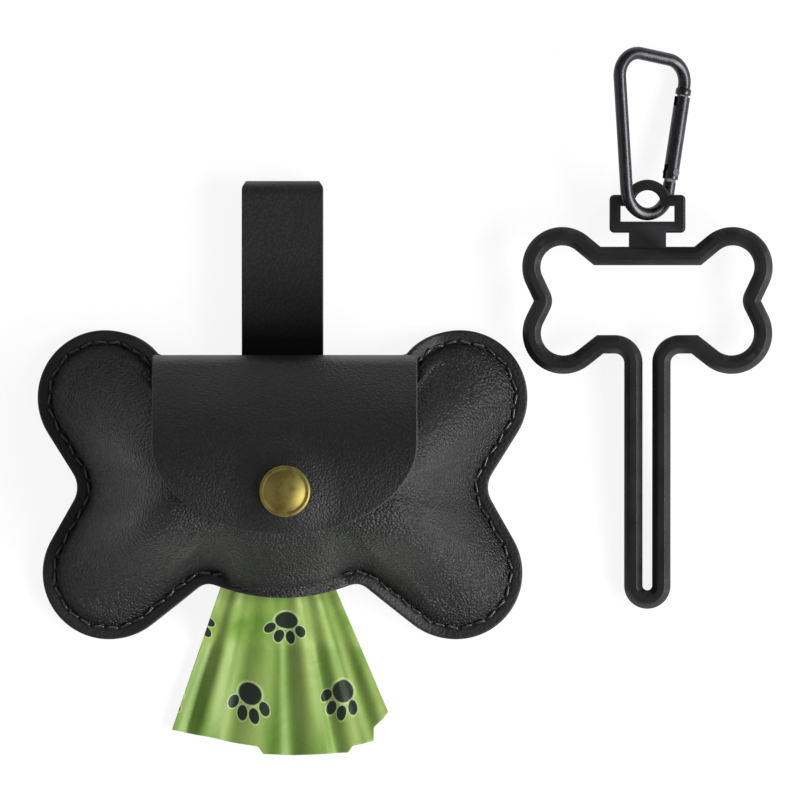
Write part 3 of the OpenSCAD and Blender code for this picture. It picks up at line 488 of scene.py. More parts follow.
def round_circle(c, start, end, step):
    """Points [x, y, heading, stretch] along one circle's arc, or at a sharp corner."""
    if c[2] == 0:
        w = (end - start + 3 * math.pi) % (2 * math.pi) - math.pi
        return [[c[0], c[1], start + w / 2, 1 / math.cos(w / 2)]]
    w = (c[3] * (end - start)) % (2 * math.pi) * c[3]
    n = max(2, math.ceil(abs(w) / math.radians(step)))
    r = c[2] * c[3]
    return [[c[0] + r * math.sin(h), c[1] - r * math.cos(h), h, 1]
            for h in (start + w * k / n for k in range(n + 1))]


def belt(circles, step):
    """Stations [x, y, heading, stretch, circle] all round the belt."""
    n, made = len(circles), []
    for i, c in enumerate(circles):
        arc = round_circle(c, heading(circles[i - 1], c), heading(c, circles[(i + 1) % n]), step)
        made += [[*station, i] for station in arc]
    return np.array(made)


def mirrored(circles):
    return [[-c[0], *c[1:]] for c in reversed(circles)]


def offset(stations, d):
    """Points d outside the belt."""
    h = stations[:, 2]
    return stations[:, :2] + d * stations[:, 3:4] * np.stack([np.sin(h), -np.cos(h)], -1)


print("belt round one circle:", len(belt([[0, 0, 1, 1], [5, 0, 1, 1]], 30)), "points")

# %% Even spacing
def even(stations, spacing, closed=True):
    """The same run with its points evenly spaced."""
    run = np.array(stations, float)
    run[:, 2] = np.unwrap(run[:, 2])
    if closed:
        run = np.vstack([run, run[0]])
        run[-1, 2] = run[-2, 2] + (run[0, 2] - run[-2, 2] + np.pi) % (2 * np.pi) - np.pi
    length = np.r_[0, np.cumsum(np.linalg.norm(np.diff(run[:, :2], axis=0), axis=1))]
    n = round(length[-1] / spacing)
    at = np.linspace(0, length[-1], n, endpoint=not closed)
    return np.stack([np.interp(at, length, run[:, k]) for k in range(4)], -1), at


print("even helper ready")

# %% [markdown]
# ## The pouch's surfaces
# The back panel comes up from the table to the strap's stack of snaps. The front panel
# starts on it at the seam and swells over the roll. Both heights are functions of the
# place on the panel, the same as in the CAD model, so leather and frame agree.

# %% Outline of the panels
TOP_Y, FRONT_TOP_Y, NOTCH_R, LIP_Y = 30.25, 28.0, 4.0, -30.5
LOBE_UP = (44.35, 19.6, 16.9)
MOUTH_HALF, MOUTH_Y, MOUTH_R = 18.5, -27.0, 4.5
LEFT = [[-LOBE_UP[0], LOBE_UP[1], LOBE_UP[2], 1], [-58.0, -2.9, 6.6, -1],
        [-43.35, -24.2, 16.65, 1], [-MOUTH_HALF, MOUTH_Y - MOUTH_R, MOUTH_R, -1]]
SEAT = 0.05
LEATHER = 1.5


def notch_x(y):
    reach = LOBE_UP[2] + NOTCH_R + SEAT
    return LOBE_UP[0] - math.sqrt(reach ** 2 - (y + NOTCH_R - LOBE_UP[1]) ** 2)


def pouch_outline(y):
    sag = MOUTH_Y - LIP_Y
    lip_r = ((MOUTH_HALF - 1) ** 2 + sag ** 2) / (2 * sag)
    notch = [-notch_x(y), y + NOTCH_R, NOTCH_R, -1]
    return [notch, *LEFT, [0, LIP_Y + lip_r, lip_r, 1], *mirrored([notch, *LEFT])]


SEAM_INSET = 3.0
coarse = belt(pouch_outline(FRONT_TOP_Y), 4)
sewn = coarse[(coarse[:, 4] >= 1) & (coarse[:, 4] <= len(LEFT))]
SEAM = offset(sewn, -SEAM_INSET)          # the left seam, from the fold to the mouth
print("seam length:", round(np.linalg.norm(np.diff(SEAM, axis=0), axis=1).sum(), 1), "mm")

# %% Heights of the panels
BACK_Z, ROLL_R, ROLL_Y, ROLL_LEN = 6.45, 12.0, -3.0, 57.0
ROLL_Z = BACK_Z + LEATHER + 0.3 + ROLL_R
CROWN_Z = ROLL_Z + ROLL_R + 1.4 + LEATHER
SNAP = np.array([0.7, -3.7])
CAP_R = 6.35


def seam_distance(x, y):
    q = np.stack([-abs(x), y], -1)[..., None, :]
    a, d = SEAM[:-1], np.diff(SEAM, axis=0)
    w = np.clip(((q - a) * d).sum(-1) / (d * d).sum(-1), 0, 1)
    return np.linalg.norm(q - a - d * w[..., None], axis=-1).min(-1)


def back_under(x, y):
    base = BACK_Z * (1 - smooth((abs(x) - 15) / 27))
    near = smooth((y - TOP_Y + 14) / 14) * (1 - smooth((abs(x) - 26) / 14))
    return mix(base, BACK_Z, near)


def rim_z(x, y):
    return back_under(x, y) + 2 * LEATHER + 2 * SEAT


def lengthwise(v):
    return 1 - np.where(v > 0, 0.6, 0.55) * (v / 28) ** 2


def snap_flat(x, y, rest=CAP_R + 0.5, slope=4.5):
    """1 on the level ring round the snap, 0 beyond its slope."""
    return 1 - smooth((np.hypot(x - SNAP[0], y - SNAP[1]) - rest) / slope)


def seam_rise(x, y):
    u = np.minimum(1, seam_distance(x, y) / 27)
    return mix(smooth(u), u, 0.15)


def drape(x, y, rise):
    v, rim = y - ROLL_Y, rim_z(x, y)
    push = (1 - smooth((abs(x) - ROLL_LEN / 2 - 3) / 16)) * (1 - smooth((abs(v) - ROLL_R) / 16))
    return rim + (CROWN_Z - rim) * (1 - (1 - rise) * (1 - push)) * lengthwise(v)


SNAP_Z = float(drape(*SNAP, seam_rise(*SNAP)))


def front_top(x, y):
    rise = seam_rise(x, y)
    level = mix(drape(x, y, rise), SNAP_Z, snap_flat(x, y))
    return level - 1.9 * rise * smooth((y - FRONT_TOP_Y + 6) / 6)


print("leather under the front snap at z", round(SNAP_Z, 2), "mm")

# %% [markdown]
# ## Front panel
# Its rings follow the outline to just past the seam and then close in on the snap, faster
# in height than in width, so that none folds over itself at the bone's notches. The thread
# pulls a groove into the rim, and low, long waves give the hide its slack.

# %% Panel rings
STITCH_PITCH, STITCH_LEN = 3.5, 2.7
EDGE_ROUND = [(0.4, 0.02), (0.16, 0.1), (0.03, 0.28), (0.03, 0.72), (0.16, 0.9), (0.4, 0.98)]


def panel_rings(run, insets, shares):
    """Rings at insets from the edge and then at shares of the last: x, y, inset and hold."""
    rings = [offset(run, -d) for d in insets]
    core = rings[-1] - SNAP
    place = np.array(rings + [SNAP + core * [w, w ** 1.8] for w in shares])
    inset = np.full(place.shape[:2], 9.0)
    inset[:len(insets)] = np.array(insets)[:, None]
    edge = offset(run, 0)
    held = 1 - smooth((seam_distance(edge[:, 0], edge[:, 1]) - SEAM_INSET - 0.1) / 3)
    return place[..., 0], place[..., 1], inset, held


def eased(z, free, passes):
    """Heights averaged with their neighbours again and again, as taut leather evens out."""
    for _ in range(passes):
        ring = (np.roll(z, 1, 1) + np.roll(z, -1, 1)) / 2
        across = (np.vstack([z[:1], z[:-1]]) + np.vstack([z[1:], z[-1:]])) / 2
        z = z + free * (0.25 * ring + 0.25 * across - 0.5 * z)
    return z


def waves(x, y):
    """Slack in the hide, up to about a quarter millimetre."""
    return (0.1 * np.sin(x / 7.3 + 1.1 * np.sin(y / 9.1)) + 0.09 * np.sin(y / 5.7 + x / 13.0)
            + 0.06 * np.sin((x + 2 * y) / 4.9))


def gathers(inset, along, sewn_here):
    """Groove and puckers of the seam, in mm below the plain surface."""
    beat = 0.5 + 0.5 * np.cos(2 * np.pi * along / STITCH_PITCH)
    groove = 0.35 * np.exp(-((inset - SEAM_INSET) / 0.5) ** 2) * (0.6 + 0.4 * beat)
    pucker = 0.1 * beat * np.exp(-np.abs(inset - SEAM_INSET - 1.6) / 1.2) * (inset > SEAM_INSET)
    return (groove + pucker) * sewn_here


print("edge has", len(EDGE_ROUND), "rings")

# %% Front panel
FRONT_INSETS = [0.4, 0.8, 1.3, 1.8, 2.2, 2.5, 2.75, 3.0, 3.25, 3.5, 3.9, 4.4, 5.0, 5.6, 6.3]
RIM_RINGS = 8                              # rings from the edge to the seam
EASE_PASSES = 260


def front_panel():
    run, along = even(coarse, 0.75)
    x, y, inset, held = panel_rings(run, FRONT_INSETS, np.linspace(0.985, 0.02, 60))
    reach = np.hypot(x - SNAP[0], y - SNAP[1])
    plain = front_top(x, y) + waves(x, y) * smooth((inset - 3) / 5) * smooth((reach - 9) / 12)
    free = np.where(inset < 3.7, 1 - held, 1.0)
    z = mix(plain, mix(rim_z(x, y), plain, smooth((inset - 3.2) / 3.5)), held)
    z = eased(z, free, EASE_PASSES)
    z = mix(z, SNAP_Z, snap_flat(x, y, 5, 6)) - gathers(inset, along, held)
    top = np.dstack([x, y, z])
    across = np.roll(top, -1, 1) - np.roll(top, 1, 1)
    normal = unit(np.cross(across, np.gradient(top, axis=0)))
    thick = -normal * np.sign(normal[..., 2:]) * LEATHER
    rim = [np.column_stack([offset(run, -d), top[0, :, 2]]) + thick[0] * share
           for d, share in EDGE_ROUND]
    under = (top + thick)[1:]
    picked = np.r_[0:12:3, 12:len(under) - 1:4, len(under) - 1]
    rings = np.concatenate([top[:0:-1], rim, under[picked]])
    points, faces = loft(rings)
    kinds = np.zeros((len(rings) + 1, len(run)), int)
    kinds[len(top) - RIM_RINGS:len(top)] = np.where(held > 0.5, 2, 0)
    kinds[len(top):len(top) + 4] = 1
    return piece("front_leather", points + POUCH, faces, [FRONT_HIDE, EDGE, RIM_HIDE],
                 kinds.ravel())


settle(front_panel(), "pouch", "leather_front", "front_panel")

# %% [markdown]
# ## Back panel
# The lining side lies on the table at the lobes and rises in the middle to the strap. It
# is built like the front, but closed in the middle, because its post is riveted tight.

# %% Back panel
BACK_INSETS = [0.4, 0.9, 1.6, 2.3, 2.7, 3.0, 3.3, 3.8, 4.5, 5.5]
FOLD_Y = TOP_Y - LEATHER                   # the flap's leather turns down behind this line


def back_panel():
    run, along = even(belt(pouch_outline(TOP_Y), 4), 1.0)
    folded = (run[:, 1] > FOLD_Y) & (abs(run[:, 0]) < notch_x(TOP_Y) + 0.2)
    run[folded, 1] = FOLD_Y
    x, y, inset, held = panel_rings(run, BACK_INSETS, np.linspace(0.96, 0.03, 30))
    low = back_under(x, y)
    dent = gathers(inset, along, held)
    top = np.dstack([x, y, low + LEATHER])
    under = np.dstack([x, y, np.maximum(low, 0.02) + np.minimum(dent, 0.5)])
    rim = [np.column_stack([offset(run, -d), low[0] + LEATHER * (1 - share)])
           for d, share in EDGE_ROUND]
    points, faces = loft(np.concatenate([top[:0:-1], rim, under[1:]]))
    kinds = np.zeros(len(faces), int)
    kinds[len(run) * (len(top) - 1):len(run) * (len(top) + 3)] = 1
    return piece("back_leather", points + POUCH, faces, [BACK_HIDE, EDGE], kinds)


settle(back_panel(), "pouch", "leather_back", "back_panel")

# %% [markdown]
# ## Flap
# The flap is the back panel's hide, turned over the top edge. Its columns run from the
# curved lower edge up over the roll and bend down at the fold.

# %% Flap
FLAP_X, FLAP_HALF, SHOULDER_Y, TIP_Y = 0.6, 32.8, 8.0, -14.0
FLAP_GAP, SNAP_STACK = 0.7, 2.05


def flap_middle(x, y):
    rim, v = rim_z(0, 0), y - ROLL_Y
    over = rim + (CROWN_Z - rim) * lengthwise(v) * (1 - 0.02 * (x / FLAP_HALF) ** 4)
    level = snap_flat(x, y, 2.5, 12)
    return mix(over, SNAP_Z, level) + mix(FLAP_GAP, SNAP_STACK, level) + LEATHER / 2


def flap():
    w = np.radians(np.linspace(-90, 90, 141))[:, None]
    x = FLAP_X + FLAP_HALF * np.sin(w)
    low = SHOULDER_Y - (SHOULDER_Y - TIP_Y) * np.cos(w)
    flat_y, fold_half = FRONT_TOP_Y - 1, notch_x(TOP_Y) - SEAT
    y = mix(low, flat_y, np.linspace(0, 1, 76)[None, :])
    xs = np.broadcast_to(x, y.shape)
    slack = waves(xs * 1.3 + 20, y * 1.2) * smooth((np.hypot(xs - SNAP[0], y - SNAP[1]) - 11) / 8)
    body = np.dstack([xs, y, flap_middle(xs, y) + 0.5 * slack * smooth((flat_y - y) / 6)])
    xe, ye = x[:, 0], TOP_Y - LEATHER / 2
    beside = smooth((abs(xe) - fold_half + 0.3) / 1.2)     # past the fold it rests on the front
    za = flap_middle(xe, flat_y)
    ze = mix(back_under(xe, ye), rim_z(xe, ye) - 0.7, beside) + LEATHER + SEAT
    slope = za - flap_middle(x[:, 0], flat_y - 1)
    full = np.full(len(xe), ye)
    a = np.column_stack([x[:, 0], np.full(len(xe), flat_y), za])
    c = np.column_stack([xe, full, ze])
    b = np.column_stack([xe, full, za + slope * (ye - flat_y)])
    bend = [a * (1 - s) ** 2 + b * 2 * s * (1 - s) + c * s * s for s in np.linspace(0, 1, 17)[1:]]
    tail = [c - mix(d, 0.1 * d, beside)[:, None] * [0, 0, 1] for d in (0.5, 1.0, 1.5)]
    grid = np.concatenate([body, np.stack([*bend, *tail], 1)], 1)
    points, faces, kinds = slab(grid, LEATHER, 0.25)
    return piece("flap_leather", points + POUCH, faces, [FLAP_HIDE, EDGE], kinds)


flap_piece = flap()
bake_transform(flap_piece)
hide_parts("flap")

# %% [markdown]
# ## Seam thread
# A lock stitch shows as short bars of thread that dive into the leather at both ends.
# Geometry Nodes lay them: the seam's line is cut at the stitch pitch, and every point gets
# a small bent thread, turned along the line with a slight zigzag. One tree makes the
# front and the back of both seams.

# %% Stitch tree
def stitch_tree():
    made = Nodes(bpy.data.node_groups.new("seam_stitches", "GeometryNodeTree"))
    face = made.tree.interface
    for name, way, kind in (("Geometry", "INPUT", "Geometry"), ("Pitch", "INPUT", "Float"),
                            ("Length", "INPUT", "Float"), ("Thread", "INPUT", "Float"),
                            ("Dip", "INPUT", "Float"), ("Zigzag", "INPUT", "Float"),
                            ("Finish", "INPUT", "Material"), ("Geometry", "OUTPUT", "Geometry")):
        face.new_socket(name, in_out=way, socket_type="NodeSocket" + kind)
    given = made.add("NodeGroupInput").outputs
    line = made.one("GeometryNodeMeshToCurve", {"Mesh": given["Geometry"]})
    cut = made.one("GeometryNodeResampleCurve", {"Curve": line, "Length": given["Pitch"]},
                   mode="LENGTH")
    half = made.math("MULTIPLY", given["Length"], 0.5)
    down = made.math("MULTIPLY", given["Dip"], -1.0)
    bar = made.one("GeometryNodeCurveQuadraticBezier",
                   {"Resolution": 6, "Middle": made.triple(Z=given["Dip"]),
                    "Start": made.triple(X=made.math("MULTIPLY", half, -1.0), Z=down),
                    "End": made.triple(X=half, Z=down)})
    radius = made.math("MULTIPLY", given["Thread"], 0.5)
    ring = made.add("GeometryNodeCurvePrimitiveCircle", {"Resolution": 8, "Radius": radius})
    thread = made.one("GeometryNodeCurveToMesh", {"Curve": bar, "Profile Curve": ring.outputs[0],
                                                  "Fill Caps": True})
    tangent = made.one("GeometryNodeInputTangent")
    turn = made.one("FunctionNodeAlignRotationToVector", {"Vector": tangent}, axis="X",
                    pivot_axis="Z")
    odd = made.math("MODULO", made.one("GeometryNodeInputIndex"), 2.0)
    angle = made.math("MULTIPLY", made.math("SUBTRACT", odd, 0.5), given["Zigzag"])
    turned = made.one("FunctionNodeRotateRotation", {0: turn, 1: made.triple(Z=angle)},
                      rotation_space="LOCAL")
    laid = made.one("GeometryNodeInstanceOnPoints",
                    {"Points": cut, "Instance": thread, "Rotation": turned})
    real = made.one("GeometryNodeRealizeInstances", {0: laid})
    dressed = made.one("GeometryNodeSetMaterial", {"Geometry": real,
                                                   "Material": given["Finish"]})
    made.add("NodeGroupOutput", {0: dressed})
    return made.tree


STITCHES = stitch_tree()
print("stitch tree:", len(STITCHES.nodes), "nodes")

# %% Laying the stitches
THREAD_D, ZIGZAG = 0.85, 0.35             # thread in mm, swing of a stitch in radians
DIP_ABOVE, DIP_BELOW = 0.16, -0.05        # how far a stitch arches, in mm
THREAD_SEAT = THREAD_D / 2 + 0.015        # least height of the rear thread's middle


def laid_stitches(line, dip):
    """Points and faces, in mm, of the stitches along one line of points in mm."""
    mesh = bpy.data.meshes.new("line")
    mesh.from_pydata((line * MM).tolist(), [(i, i + 1) for i in range(len(line) - 1)], [])
    obj = placed("line", mesh)
    nodes = obj.modifiers.new("stitches", "NODES")
    nodes.node_group = STITCHES
    values = {"Pitch": STITCH_PITCH * MM, "Length": STITCH_LEN * MM, "Thread": THREAD_D * MM,
              "Dip": dip * MM, "Zigzag": ZIGZAG, "Finish": THREAD}
    for item in STITCHES.interface.items_tree:
        if item.in_out == "INPUT" and item.name in values:
            nodes[item.identifier] = values[item.name]
    obj.update_tag()
    apply_modifiers(obj)
    points = np.array([v.co for v in obj.data.vertices]) / MM
    faces = [list(p.vertices) for p in obj.data.polygons]
    bpy.data.objects.remove(obj)
    return points, faces


def thread_of(side):
    """Both faces of one seam: side 1 is the left one and -1 the right one."""
    x, y = SEAM[:, 0] * side, SEAM[:, 1]
    below = np.maximum(back_under(x, y) - 0.02, THREAD_SEAT)
    points, faces = laid_stitches(np.column_stack([x, y, rim_z(x, y)]) + POUCH, DIP_ABOVE)
    more, rest = laid_stitches(np.column_stack([x, y, below]) + POUCH, DIP_BELOW)
    faces += [[i + len(points) for i in f] for f in rest]
    return np.vstack([points, more]), faces


for name, side in (("left", 1), ("right", -1)):
    thread = piece("thread_" + name, *thread_of(side), [THREAD])
    settle(thread, "pouch", "thread", "stitching_" + name)

# %% [markdown]
# ## Snap caps and the metal that CAD already has
# A snap's cap is pressed from thin brass: a shallow dome inside a rolled rim. Its section
# is spun round the middle. Studs, sockets, posts, rivet, spring and core are true turned
# shapes in the CAD model, so those nodes stay and only get their finishes.

# %% Spun caps
CAP_SECTION = [(6.05, 0.0), (6.3, 0.12), (6.42, 0.35), (6.35, 0.62), (6.12, 0.86), (5.8, 0.97),
               (5.5, 0.93), (5.25, 0.88), (5.0, 0.96), (4.5, 1.2), (3.8, 1.5), (3.0, 1.78),
               (2.1, 1.99), (1.1, 2.12), (0.3, 2.16)]


def spun(section, centre, way, foot):
    """A solid of turning: way is 1 for a cap that looks up and -1 for one that looks down."""
    angles = np.linspace(0, 2 * np.pi, 72, endpoint=False)
    section = [(1.6, -foot), (1.6, 0.0), *section]
    rings = [np.column_stack([r * np.cos(angles), r * np.sin(angles), np.full(72, way * z)])
             for r, z in section]
    points, faces = loft(rings)
    return points + centre + POUCH, faces


FLAP_SNAP_Z = SNAP_Z + SNAP_STACK
front_cap = piece("front_snap_cap", *spun(CAP_SECTION, [*SNAP, FLAP_SNAP_Z + LEATHER + 0.05],
                                          1, 1.5), [BRASS])
settle(front_cap, "flap", "brass", "flap_snap_cap")
rear = [(r, z * 1.4 / 2.16) for r, z in CAP_SECTION]
rear_cap = piece("rear_snap_cap", *spun(rear, [0, 16, 1.45], -1, 1.5), [BRASS])
settle(rear_cap, "pouch", "brass", "strap_snap_cap")

# %% Finishes of the CAD's own metal and card
CAD_FINISHES = {
    BRASS: ("flap_snap_socket", "pouch_snap_stud", "pouch_snap_post", "strap_snap_socket",
            "strap_snap_stud", "strap_snap_post"),
    CARD: ("roll_core",), ANODISED: ("carabiner_gate", "gate_rivet"),
    STEEL: ("gate_spring", "gate_plunger")}
for material, names in CAD_FINISHES.items():
    for slot in [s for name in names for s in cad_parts[name].material_slots]:
        slot.material = material
    print(material.name, "is on", ", ".join(names))

# %% [markdown]
# ## Strap
# One strip of leather is folded double behind the pouch, from its root under the back
# panel round the loop and back to the snap. Its middle line is drawn from the side and
# given the strap's width, with round ends.

# %% Strap
STRAP_HALF, STRAP_END, FLEX_Y, FAR_Y = 10.0, 7.0, 31.25, 73.75
BEND_R = 3.25                              # middle radius of the loop's far end


def strap():
    start, arc_y, arc_z = FLEX_Y + 0.3, FAR_Y - 4, 4.0
    ys = np.linspace(7.02, arc_y, 96)
    upper = 5.65 + 1.6 * smooth((ys - start) / 12)
    angle = np.radians(np.linspace(90, -90, 30))[1:-1]
    bend = np.column_stack([arc_y + BEND_R * np.cos(angle), arc_z + BEND_R * np.sin(angle)])
    lower = 0.75 + 1.5 * (1 - smooth((ys - 22.5) / 16))
    line = np.vstack([np.column_stack([ys, upper]), bend, np.column_stack([ys, lower])[::-1]])
    end = np.minimum(line[:, 0] - STRAP_END, STRAP_HALF - 1)
    round_end = np.sqrt(np.maximum(STRAP_HALF ** 2 - (STRAP_HALF - end) ** 2, 0.01))
    half = np.where(end < STRAP_HALF - 1, round_end, STRAP_HALF)
    half = np.minimum(half, STRAP_HALF - 1.2 * smooth((line[:, 0] - FAR_Y + 2.2) / 2.2))
    across = np.sin(np.radians(np.linspace(-90, 90, 33)))[None, :]
    x = half[:, None] * across
    cup = 0.12 * across ** 2 * smooth((line[:, :1] - FLEX_Y) / 10)
    grid = np.dstack([x, np.broadcast_to(line[:, :1], x.shape), line[:, 1:] + 0 * x + cup])
    points, faces, kinds = slab(grid, LEATHER, 0.2)
    points[:, 2] = np.maximum(points[:, 2], 0.02)
    return piece("strap_leather", points + POUCH, faces, [STRAP_HIDE, EDGE], kinds)


strap_piece = strap()
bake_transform(strap_piece)
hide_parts("strap_root", "strap_tab", "strap_loop")

# %% [markdown]
# ## Roll of bags
# The bags are one long tube of film, flattened and wound on the core. The end faces show
# the edges of the layers as fine uneven ridges, and the outside has the step where the
# last turn ends.

# %% Wound roll
def wound_roll():
    turn = np.linspace(0, 2 * np.pi, 120, endpoint=False)
    dice = np.random.default_rng(7)
    layers = np.linspace(6.1, ROLL_R - 0.35, 17)
    left = [(-ROLL_LEN / 2 + 0.05 + (0.32 if k % 2 else 0) + dice.uniform(0, 0.12), r)
            for k, r in enumerate(layers)]
    out = [(x, ROLL_R - 0.04) for x in np.linspace(-28.2, 28.2, 24)]
    section = left + out + [(-x, r) for x, r in reversed(left)]
    rings = []
    for x, r in section:
        grown = r - 0.22 * (turn / (2 * np.pi)) * (r > 7)
        grown = grown - 0.05 * (r > 11) * (1 + np.sin(x / 3.1 + 3 * turn))
        rings.append(np.column_stack([np.full(len(turn), x), grown * np.cos(turn),
                                      grown * np.sin(turn)]))
    points, faces = loft(rings, closed=True)
    return piece("wound_film_roll", points + [0, ROLL_Y, ROLL_Z] + POUCH, faces, [ROLL_FILM])


settle(wound_roll(), "roll", "film_roll", "bag_roll")

# %% [markdown]
# ## Leading bag
# The first bag leaves the roll, passes out under the front panel's lip and lies on the
# table, gathered at the mouth and fanned out to its hem. Five broad folds run down it,
# with slighter creases between, and its hem is stepped. Its flat size is measured along
# its own surface, and the print's UV map is in those flat millimetres.

# %% Film grid
FILM_X, FILM_LEAN, MOUTH_FILM, HEM_HALF, HEM_Y = -1.2, 1.8, 14.0, 30.4, -69.8
FILM_T, FOLDS, FOLD_H = 0.35, 5, 2.6
LEAD = 5.5                                # how far below the roll's axis the bag leaves it
LEAD_Y = ROLL_Y - LEAD
HEM_STEPS = np.array([(-1, 6.4), (-0.24, 2.2), (-0.2, 0.3), (0.1, 0), (0.53, 0.7), (0.57, 2.4),
                      (0.78, 3.6), (0.82, 7), (1, 10.8)])


def film_grid():
    u, w = np.meshgrid(np.linspace(0, 1, 253), np.linspace(0, 1, 181), indexing="ij")
    across = 2 * u - 1
    plain = 1.4 + 7.2 * abs(across) ** 2.4 + 2.2 * across
    hem = np.interp(across, *HEM_STEPS.T)
    y = mix(LEAD_Y, HEM_Y + plain, w) + (hem - plain) * w ** 8
    mouth_z = BACK_Z + LEATHER + 0.3 + FILM_T / 2
    start_z = ROLL_Z - math.sqrt(ROLL_R ** 2 - LEAD ** 2) - 0.3 - FILM_T / 2
    table_z = FILM_T / 2 + 0.1
    base = np.where(y > LIP_Y, mix(mouth_z, start_z, smooth((y - LEAD_Y + 9) / 9)),
                    mix(mouth_z, table_z, smooth((LIP_Y - y) / 13)))
    share = np.maximum(0, (MOUTH_Y - y) / (MOUTH_Y - HEM_Y))
    half = mix(MOUTH_FILM, HEM_HALF, share)
    open_part = smooth((LEAD_Y - 8 - y) / (LEAD_Y - 8 - HEM_Y - 14))
    phase = 2 * np.pi * FOLDS * u + 0.8 * np.sin(2 * np.pi * u + 0.5) + 0.5 * np.sin(9 * u)
    pleat = (1 + np.cos(phase)) / 2 * (0.72 + 0.28 * np.sin(11 * u + 0.8))
    fine = 0.1 * np.sin(2 * phase + 3 * w + 1) + 0.05 * np.sin(31 * u + 7 * w + 2 * np.sin(5 * w))
    ripple = np.clip(0.08 + 0.85 * pleat + fine, 0, 1.1)
    z = base + FOLD_H * open_part * ripple
    x = FILM_X + FILM_LEAN * share + across * half
    x = x + 0.8 * open_part * np.sin(phase + 1.2) * (1 - across ** 2)
    return np.dstack([x, y, z])


def flat_size(grid):
    """Arc lengths across and down the sheet at every point, and its area, in mm."""
    step_u = np.linalg.norm(np.diff(grid, axis=0), axis=2)
    step_w = np.linalg.norm(np.diff(grid, axis=1), axis=2)
    area = (step_u[:, 1:] * step_w[1:, :]).sum()
    across = np.vstack([np.zeros((1, grid.shape[1])), np.cumsum(step_u, 0)])
    down = np.hstack([np.zeros((grid.shape[0], 1)), np.cumsum(step_w, 1)])
    return across - across[-1:] / 2, down, area


grid = film_grid()
film_across, film_down, film_area = flat_size(grid)

# %% Leading bag
points, faces, kinds = slab(grid, 0.1, 0.02)
bag = piece("leading_bag_film", points + POUCH, faces, [FILM])
flat = np.stack([film_across, film_down], -1).reshape(-1, 2) / 100
per_point = np.vstack([flat, flat, *[flat[border_of(*grid.shape[:2])]] * len(ROUND)])
corners = np.empty(len(bag.data.loops), np.int32)
bag.data.loops.foreach_get("vertex_index", corners)
layer = bag.data.uv_layers.new(name="flat_mm")
layer.data.foreach_set("uv", per_point[corners].ravel().astype(np.float32))
settle(bag, "leading_bag", "film", "leading_bag")
print("film area", round(film_area / 100, 1), "cm2")

# %% [markdown]
# ## Bag carrier
# The carrier is one moulding: a ring in a bone's outline whose lower bars flare into a
# long tail, and a plate with an eye on a short neck. Each part is swept or cut by itself,
# joined with Boolean unions as the mould joins them, and its ridges get a small radius.

# %% Sweeps and prisms
def bevelled(w, h, b):
    return [(-w / 2 + b, 0), (-w / 2, b), (-w / 2, h - b), (-w / 2 + b, h),
            (w / 2 - b, h), (w / 2, h - b), (w / 2, b), (w / 2 - b, 0)]


def swept(stations, section, closed=True):
    """A section [(outwards, up)] carried along stations, in mm."""
    return loft(np.stack([level(offset(stations, d), z) for d, z in section], 1), closed=closed)


def level(outline, z):
    """A flat outline at a height."""
    return np.column_stack([outline, np.full(len(outline), z)])


def prism(outline, low, high):
    return loft([level(outline, z) for z in (low, high)])


def joined(name, parts, cuts, material, ridge):
    """Unions parts, takes cuts away and rounds the ridges, as one mesh object."""
    whole = piece(name, *parts[0], [material])
    for shape, operation in [(p, "UNION") for p in parts[1:]] + [(c, "DIFFERENCE") for c in cuts]:
        tool = piece("tool", *shape, [material])
        change = whole.modifiers.new("join", "BOOLEAN")
        change.object, change.operation, change.solver = tool, operation, "EXACT"
        apply_modifiers(whole)
        bpy.data.objects.remove(tool)
    if ridge:
        soft = whole.modifiers.new("ridges", "BEVEL")
        soft.width, soft.segments, soft.limit_method = ridge * MM, 3, "ANGLE"
        soft.angle_limit = math.radians(30)
        soft.use_clamp_overlap = True
        apply_modifiers(whole)
    return whole


def finish_mesh(obj, move):
    """Moves the points of a piece from its own drawing to its place, then smooths it."""
    points = np.array([v.co for v in obj.data.vertices]) / MM
    obj.data.vertices.foreach_set("co", (move(points) * MM).ravel())
    obj.data.update()
    obj.data.set_sharp_from_angle(angle=math.radians(38))
    return obj


print("sweep helpers ready")

# %% Carrier
CARRIER_X, CARRIER_Y, TAIL_LEN, TAIL_LIFT = 60.55, 25.1, 77.1, math.radians(3.666)
RING_W, RING_H = 4.6, 4.4
RING = [[-12.55, 11.2, 0, 1], [-21.3, 8.45, 7.7, 1], [-28.6, 0, 2.5, -1], [-21.0, -8.1, 7.9, 1],
        [-11.8, -10.9, 0, 1], [-8.15, -15.55, 4.65, -1]]


def in_carrier(p):
    """From the carrier's flat drawing to its place, lifted by the hook at its upper end."""
    y = p[:, 1] + TAIL_LEN
    c, s = math.cos(TAIL_LIFT), math.sin(TAIL_LIFT)
    return np.column_stack([p[:, 0] + CARRIER_X, CARRIER_Y - TAIL_LEN + y * c - p[:, 2] * s,
                            y * s + p[:, 2] * c])


def rectangle(half, low, high):
    return [(-half, low), (half, low), (half, high), (-half, high)]


def half_circle(r, count):
    """x, y and angle of points over the eye's middle."""
    turn = np.radians(np.linspace(0, 180, count))
    return r * np.cos(turn), EYE_Y + r * np.sin(turn), turn


TAIL_R, RING_BEVEL, RIDGE = 3.5, 1.5, 0.4
PLATE_T, PLATE_EDGE, CORNER_R = 1.8, 0.45, 1.2
PLATE = rectangle(8.3, 18.2, 25.3)         # middles of the plate's round corners
WINDOW, NECK = rectangle(6.7, 19.8, 23.7), rectangle(4.65, 11.2, 18.4)
EYE_R, EYE_Y, EYE_LOW, ARCH_R, ARCH_W = 3.25, 24.4, 21.4, 4.575, 2.65


